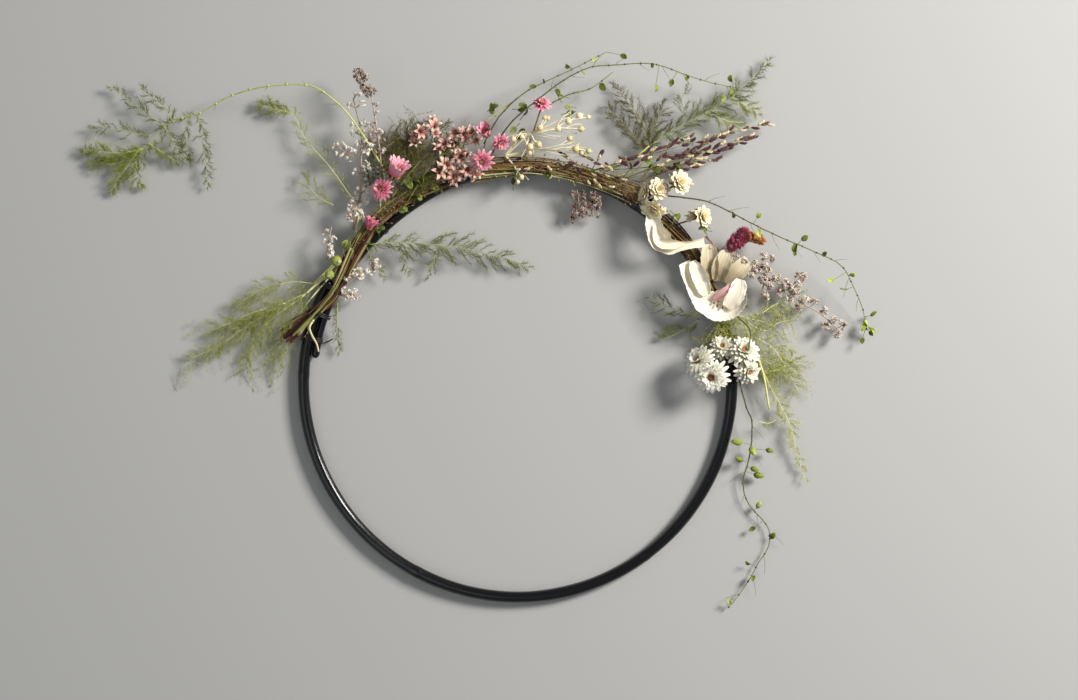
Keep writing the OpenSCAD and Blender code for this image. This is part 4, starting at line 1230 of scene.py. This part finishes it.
def star_floret(shape, rng, at, across):
    """A small funnel of a floret: six pointed lobes that flare out of a dark throat."""
    lobes = 6
    for k in range(lobes):
        out = ring_way(math.tau * (k + rng.uniform(-0.15, 0.15)) / lobes)
        flare = rng.uniform(0.8, 1.1)
        path = [at @ (out * across * reach * flare + UP * across * up) for up, reach, _ in STAR_LOBE]
        widths = [across * 0.28 * width for _, _, width in STAR_LOBE]
        normal = at.to_3x3() @ (UP - out * 0.8).normalized()
        looks = (rng.uniform(-0.15, 0.1), rng.uniform(0.4, 0.6))
        blade(shape, path, widths, normal, 0.9, 0.22, 5, looks)
    throat, end = (at @ (UP * -across * down) for down in (0.3, 0.9))
    stem(shape, [throat, end], across * 0.3, across * 0.12, 7, (0.2, 0.9))


def bundle_point(place, up=13.0):
    """The point of the stem bundle next to a place: where its stalk comes from."""
    return point((place[0] + 4, 1, up))


FLORETS_UPPER = [(111, 36, 24), (108, 37, 24), (107, 24, 23), (104, 28, 24), (102, 25, 23)]
FLORETS_LOWER = [(110, 7, 21), (108, 10, 23), (107, 1, 21), (104, 11, 24), (103, 2, 22), (100, 5, 22)]
FLAX_BASE = (93, 8, 17)
FLAX_FORKS = [(88, 22, 22), (87, 12, 20)]
FLAX_PODS = [
    (91, 19, 24), (85, 27, 28), (87, 14, 24), (85, 16, 25), (81, 28, 28), (78, 23, 26), (76, 17, 25),
    (73, 18, 24), (79, 34, 28), (77, 39, 28), (76, 31, 26), (89, -6, 15),
]
SPIKELET_BASES = [(71, 6, 17), (63, 9, 17), (59, 13, 16)]
SPIKELETS = [
    (79, 12, 20), (68, 13, 22), (65, 21, 23), (62, 28, 23), (60, 31, 22), (57, 49, 22), (55, 57, 21),
    (51, 68, 19), (50, 77, 17), (48, 68, 17), (47, 82, 15), (46, 87, 13), (46, 100, 10), (53, 49, 18),
    (50, 58, 16), (48, 58, 14), (50, 46, 15), (75, 16, 23), (70, 21, 22),
]
PINK_D = 19.0
CREAM_D = 17.0
DAISY_D = 25.0
POD_D = 5.0
PINK_LOOKS = (0.14, (0.05, 0.55), 0.8, 0.5, POINTED)  # core, tones, core's tone, curl, outline


def make_pinks():
    rng = random.Random("pinks")
    heads = [
        ("pink_everlasting_open", "pink_flower_open", (125, 14, 25), 150, 30, PINK_D, 15, 4, 0.13),
        ("pink_everlasting_star", "pink_flower_star", (99, 6, 26), 260, 25, PINK_D * 0.95, 12, 3, 0.15),
        ("pink_everlasting_high", "pink_flower_high", (85, 43, 32), 80, 45, PINK_D * 0.78, 11, 3, 0.18),
    ]
    tulips = [
        ("pink_everlasting_pair", "pink_flower_pair", (97, 23, 24), 120, 35, PINK_D * 0.5, 8,
         (0.1, 0.5), 0.5),
        ("pink_everlasting_tulip", "pink_flower_tulip", (121, 17, 25), 60, 55, PINK_D * 0.74, 13,
         (0.0, 0.6), 0.32),
        ("pink_everlasting_bud", "pink_bud", (134, 0, 18), 60, 70, PINK_D * 0.45, 8, (0.0, 0.35), 0.5),
    ]
    for name, node, place, turn, lean, across, petals, tiers, wide in heads:
        shape = Shape()
        papery_flower(shape, rng, facing(place, turn, lean), bundle_point(place), across, petals, tiers,
                      8, 70, wide, *PINK_LOOKS)
        piece(name, shape, PINK_PETAL, "pink_petal", node)

    for name, node, place, turn, lean, across, petals, tones, wide in tulips:
        shape = Shape()
        tulip_flower(shape, rng, facing(place, turn, lean), across, petals, tones, wide,
                     bundle_point(place))
        if node == "pink_flower_pair":
            place = (94, 17, 25)
            papery_flower(shape, rng, facing(place, 300, 35), bundle_point(place), PINK_D * 0.78, 11, 3,
                          15, 75, 0.16, *PINK_LOOKS)
        piece(name, shape, PINK_PETAL, "pink_petal", node)

    for name, node, places, size in (("blush_florets_upper", "star_florets_upper", FLORETS_UPPER, 12),
                                     ("blush_florets_lower", "star_florets_lower", FLORETS_LOWER, 12.5)):
        shape = Shape()
        for i, place in enumerate(places):
            star_floret(shape, rng, facing(place, 75 * i, 30), size)
            for _ in range(3):
                beside = (place[0] + rng.uniform(-2.6, 2.6), place[1] + rng.uniform(-5, 5),
                          place[2] - rng.uniform(2, 5))
                at = facing(beside, rng.uniform(0, 360), rng.uniform(25, 70))
                star_floret(shape, rng, at, size * rng.uniform(0.7, 0.9))
            stem(shape, [point(place) - UP * size * 0.6, bundle_point(place)], 0.9, 0.6, 5, (0.85, 1.0))
        piece(name, shape, BLUSH_PETAL, "blush_petal", node)


def make_flax():
    rng = random.Random("flax")
    stems, pods = Shape(), Shape()
    base = point(FLAX_BASE)
    for place in FLAX_PODS:
        end = point(place)
        fork = point(FLAX_FORKS[0] if place[0] > 82 or place[1] > 27 else FLAX_FORKS[1])
        if place[1] < 0:
            fork = base.lerp(end, 0.4) + UP
        bow = fork.lerp(end, 0.6) + UP * 2 + jitter(rng, 2.5)
        path = smooth([base + jitter(rng, 1), fork + jitter(rng, 1.2), bow, end], 7)
        stem(stems, path, VINE_D * 1.1, VINE_D * 0.55, 6, (0.5, 0.9))
        way = (end - bow).normalized()
        ribbed_pod(pods, end, way, POD_D * rng.uniform(0.75, 1.0), rng.uniform(0.55, 0.85), 5)
        for split in (9, 13, 16):
            root = path[split]
            spare = end + jitter(rng, 7)
            spare.z = end.z - rng.uniform(0, 4)
            twig = bowed(root, spare, UP + jitter(rng, 1.5), 5)
            stem(stems, twig, VINE_D * 0.65, VINE_D * 0.4, 5, (0.6, 0.9))
            end_way = (spare - root).normalized()
            if rng.random() < 0.25:
                ribbed_pod(pods, spare, end_way, POD_D * 0.65, rng.uniform(0.5, 0.85), 5)
            else:
                seed_head(pods, rng, spare, end_way, rng.uniform(0.8, 1.5), (0.6, 0.9))
    piece("flax_stems_branched", stems, FLAX, "flax", "flax_stems")
    piece("flax_pods_ribbed", pods, POD, "flax", "flax_pods")


def spikelet(shape, rng, tip, way, length, width, tones):
    """A plump grass spikelet: overlapping pointed scales in two rows, with a fine awn."""
    side = sideways(way)
    for k in range(5):
        base = tip - way * length * (1 - 0.14 * k)
        end = base + way * length * 0.6 + (side if k % 2 else -side) * width * 0.22
        looks = shaded(tones, rng.uniform(-0.1, 0.1))
        knob(shape, base, (end - base).normalized(), (end - base).length, width * 0.75, looks, 6, 0.05)
    awn = tip + way * length * 0.35
    needle(shape, tip - way * length * 0.2, awn, way * 0.01, 0.25, (tones[1], tones[1]))


def husk_tones(rng):
    """Most husks are purple with paler tips, and some are straw all over."""
    if rng.random() < 0.22:
        return (0.6, 0.95)
    return (rng.uniform(-0.15, 0.2), rng.uniform(0.1, 0.7))


def make_grass():
    rng = random.Random("grass")
    shape = Shape()
    for i, place in enumerate(SPIKELETS):
        base = point(SPIKELET_BASES[i % len(SPIKELET_BASES)])
        end = point(place)
        path = bowed(base, end, UP * 3 + jitter(rng, 1.5), 8)
        stem(shape, path, 0.7, 0.4, 5, (0.5, 0.55))
        for _, spot, along in walk(path, 5, 0.5):
            way = (along + sideways(along) * rng.uniform(-0.45, 0.45)).normalized()
            tip = spot + way * rng.uniform(4, 7)
            stem(shape, [spot, tip - way * 4], 0.4, 0.3, 3, (0.5, 0.5))
            spikelet(shape, rng, tip, way, rng.uniform(4.2, 5.4), rng.uniform(1.8, 2.4), husk_tones(rng))
        spikelet(shape, rng, end, (end - path[-4]).normalized(), 6, 2.5, husk_tones(rng))
    for route in STALK_ROUTES[1:]:
        for _, spot, along in walk(curve(route), 4.0, 0.15):
            way = (along + sideways(along) * rng.uniform(-0.6, 0.9) + UP * 0.25).normalized()
            tip = spot + UP * 2 + jitter(rng, 2) + way * rng.uniform(3, 9)
            stem(shape, [spot, tip - way * 4], 0.45, 0.3, 4, (0.55, 0.7))
            spikelet(shape, rng, tip, way, rng.uniform(3.6, 5), rng.uniform(1.5, 2.2), husk_tones(rng))
    piece("grass_spikelets_scaly", shape, SPIKELET, "spikelet", "grass_spikelets")


def make_creams():
    rng = random.Random("creams")
    for name, node, place, turn, lean, across, petals in (
            ("cream_everlasting_side", "cream_flower_side", (56, 9, 20), 170, 62, CREAM_D * 0.9, 9),
            ("cream_everlasting_cup", "cream_flower_cup", (54, 16, 24), 30, 20, CREAM_D * 0.95, 10),
            ("cream_everlasting_open", "cream_flower_open", (51, 28, 26), 20, 40, CREAM_D * 1.08, 10),
            ("cream_everlasting_low", "cream_flower_low", (52, 3, 24), 240, 45, CREAM_D * 1.05, 9),
            ("cream_everlasting_right", "cream_flower_right", (42, 22, 23), 10, 45, CREAM_D, 9)):
        shape = Shape()
        papery_flower(shape, rng, facing(place, turn, lean), bundle_point(place), across, petals, 3,
                      32, 70, 0.31, 0.12, (0.02, 0.62), 0.76, 0.45, ROUNDED, 0.2)
        for _ in range(3):
            bud = (place[0] + rng.uniform(-2.5, 2.5), place[1] + rng.uniform(-6, 3), place[2] - 4)
            at = facing(bud, rng.uniform(0, 360), 60)
            tulip_flower(shape, rng, at, CREAM_D * 0.35, 5, (0.0, 0.6), 0.5)
        piece(name, shape, CREAM_PETAL, "cream_petal", node)


def make_daisies():
    rng = random.Random("daisies")
    side_root, pair_root = (9, 0, 13), (9, 1, 13)
    # Each flower: place, turn, lean, its stalk's root, size, petals, low, high, wide, core, tones,
    # core's tone
    for name, node, flowers in (
            ("white_daisy_open", "white_daisy", [
                ((2, -15, 25), 230, 15, (6, 0, 13), 1.06, 16, 4, 62, 0.13, 0.2, (0.4, 0.62), 0.82)]),
            ("white_daisy_side_view", "white_daisy_side", [
                ((7, -22, 21), 140, 45, side_root, 1, 15, 8, 72, 0.14, 0.1, (0.25, 0.6), 0.8)]),
            ("white_daisy_pair", "white_daisy_cluster", [
                ((8, 8, 21), 70, 30, pair_root, 1.0, 15, 6, 74, 0.14, 0.14, (0.0, 0.55), 0.84),
                ((3, 10, 19), 330, 35, pair_root, 0.85, 14, 6, 74, 0.14, 0.14, (0.0, 0.55), 0.84),
                ((10, -5, 17), 110, 25, pair_root, 0.8, 14, 6, 74, 0.14, 0.14, (0.0, 0.55), 0.84)])):
        shape = Shape()
        for place, turn, lean, root, size, petals, *looks in flowers:
            papery_flower(shape, rng, facing(place, turn, lean), point(root), DAISY_D * size, petals, 4,
                          *looks, crumple=0.15)
        piece(name, shape, DAISY_PETAL, "cream_petal", node)


# ---------------------------------------------------------------- large petals and plumes
def along_list(values, share):
    """The value at a share of the way along a list, smoothly between its entries."""
    reach = share * (len(values) - 1)
    i = min(int(reach), len(values) - 2)
    t = reach - i
    return mix(values[i], values[i + 1], t * t * (3 - 2 * t))


def big_petal(shape, rng, route, width, curl, tones, frill, rim=0.0):
    """A wide dried petal, as wide as a list says from end to end, with folds and a frilled rim.

    rim is how far its right-hand side stands up.
    """
    path = curve(route, 14)
    last = len(path) - 1
    widths = [along_list(width, i / last) * rng.uniform(0.95, 1.04) for i in range(last + 1)]
    phases = [rng.uniform(0, 6) for _ in range(4)]

    def ruffle(along, across):
        waves = math.sin(9 * along + phases[0]) + 0.6 * math.sin(23 * along + phases[1] + 3 * across)
        folds = 0.24 * math.sin(5 * across + phases[2])
        folds += 0.1 * math.sin(17 * across + 4 * along + phases[3])
        return frill * (waves * across * across * 0.6 + folds) + rim * max(across, 0) ** 2

    blade(shape, path, widths, UP, curl, 0.3, 25, tones, 0.05, ruffle)


# Petals: route, widths from end to end, curl, tones, frill, and how far a rim stands up, where it does
CURLED_PETALS = [
    ([(52, 0, 22), (47, -8, 22), (42, -8, 22), (39, 2, 23), (37, 12, 22)],
     (7, 14, 19, 13, 7, 6, 8), 1.0, (0.42, 0.3), 0.8),
    ([(49, -4, 22), (45, -10, 24), (42, -6, 25), (40, 1, 24)], (5, 11, 9, 3), 1.3, (0.5, 0.24), 0.6),
]
WHITE_PETALS = [
    ([(36, -7, 23), (30, -9, 22), (24, -8, 21), (21, 0, 20), (21, 9, 21), (23, 18, 24)],
     (9, 12, 14, 18, 22, 22, 19, 12), 0.5, (0.42, 0.55), 0.8, 3.5),
    ([(35, -2, 25), (30, -4, 25), (25, -5, 23)], (5, 10, 12, 11, 6), 0.9, (0.45, 0.35), 0.8),
    ([(20, 4, 23), (22, 13, 25), (25, 20, 25)], (7, 12, 13, 12, 7), 0.7, (0.35, 0.5), 0.8),
    ([(23, -2, 23), (24, 6, 25), (25, 15, 26)], (3, 6, 6, 5, 3), 1.3, (0.95, 0.76), 0.3),
]
STAMENS = [(21, -2, 3.5), (22, 0, 3), (20, 1, 3), (22, -3, 3)]  # angle, out, length
TAUPE_PETALS = [
    (route, (6, 11, 14, 14, 12, 7), 0.9, (0.2, 0.8), 0.55) for route in (
        [(28, 3, 17), (32, 7, 20), (36, 14, 19)], [(26, 10, 16), (27, 21, 19), (28, 31, 17)],
        [(27, 6, 16), (30, 13, 20), (32, 22, 19)])
]


def make_petals():
    rng = random.Random("petals")
    for name, node, finish, slot, petals in (
            ("curled_white_petal", "curled_petal", WHITE_PETAL, "white_petal", CURLED_PETALS),
            ("white_flower_petals", "white_flower", WHITE_PETAL, "white_petal", WHITE_PETALS),
            ("taupe_back_petals", "papery_petals", TAUPE_PETAL, "taupe_petal", TAUPE_PETALS)):
        shape = Shape()
        for route, *looks in petals:
            big_petal(shape, rng, route, *looks)
        if node == "white_flower":
            for turn, out, length in STAMENS:
                way = (UP * 0.3 + outwards(turn + 40)).normalized()
                knob(shape, point((turn, out, 23)), way, length, 1.5, (-0.05, 0.14), 6)
        piece(name, shape, finish, slot, node)


def plume(shape, rng, centre, size, count, length, thick):
    """A soft plume: many short bristles that stand out from a rounded body."""
    for _ in range(count):
        way = jitter(rng, 1).normalized()
        way.z = abs(way.z) * 0.8 - 0.1
        base = centre + Vector((way.x * size.x, way.y * size.y, way.z * size.z)) * 0.4
        tip = base + way * length * rng.uniform(0.6, 1.2)
        shade = rng.uniform(0.1, 0.8)
        needle(shape, base, tip, jitter(rng, length * 0.15), thick, (shade, shade + 0.2))


RUST_ROUTE = [(34, 34, 18), (32, 41, 18), (30, 46, 16)]


def bristly_tail(shape, rng, route):
    """A dense tapering tail: seed heads on short twigs to all sides of its stem."""
    size, tones = 1.6, (0.2, 0.9)
    path = curve(route)
    stem(shape, path, 1.0, 0.5, 6, (0.3, 0.45))
    for share, place, along in walk(path, 0.6):
        side, above = across_both(along)
        spread = 7 * mix(1.0, 0.5, share) / 2
        for _ in range(8):
            angle = rng.uniform(0, math.tau)
            out = (side * math.cos(angle) + above * math.sin(angle)).normalized()
            way = (out + along * rng.uniform(0.2, 0.9)).normalized()
            tip = place + way * (spread * rng.uniform(0.4, 1.1))
            stem(shape, [place, place.lerp(tip, 0.5) + along * 0.3, tip], 0.4, 0.3, 3, (0.3, 0.4))
            looks = shaded(tones, rng.uniform(-0.2, 0.2))
            seed_head(shape, rng, tip, way, size * rng.uniform(0.75, 1.2), looks)


def make_plumes():
    rng = random.Random("plumes")
    at = facing((33, 32, 20), 30, 0)
    magenta = Shape()
    for offset, size in (((0, 0, 0), 9), ((5, 2, 1), 7), ((-5, -1, 0), 6.5)):
        plume(magenta, rng, at @ Vector(offset), Vector((size, size, size * 0.8)), 420, 2.8, 0.55)
    for _ in range(60):
        way = jitter(rng, 1).normalized()
        knob(magenta, at @ (way * rng.uniform(1, 4)), at.to_3x3() @ way, 3, 1.6, (0.2, 0.5), 6)
    piece("magenta_plume_bristles", magenta, MAGENTA_PLUME, "magenta_plume", "celosia_tuft")

    rust = Shape()
    bristly_tail(rust, rng, RUST_ROUTE)
    piece("rust_plume_tail", rust, RUST_PLUME, "rust_plume", "celosia_tail")


make_stage()
make_hoop()
make_wires()
make_stems()
make_ferns()
make_vines()
make_seeds()
make_pinks()
make_flax()
make_grass()
make_creams()
make_daisies()
make_petals()
make_plumes()
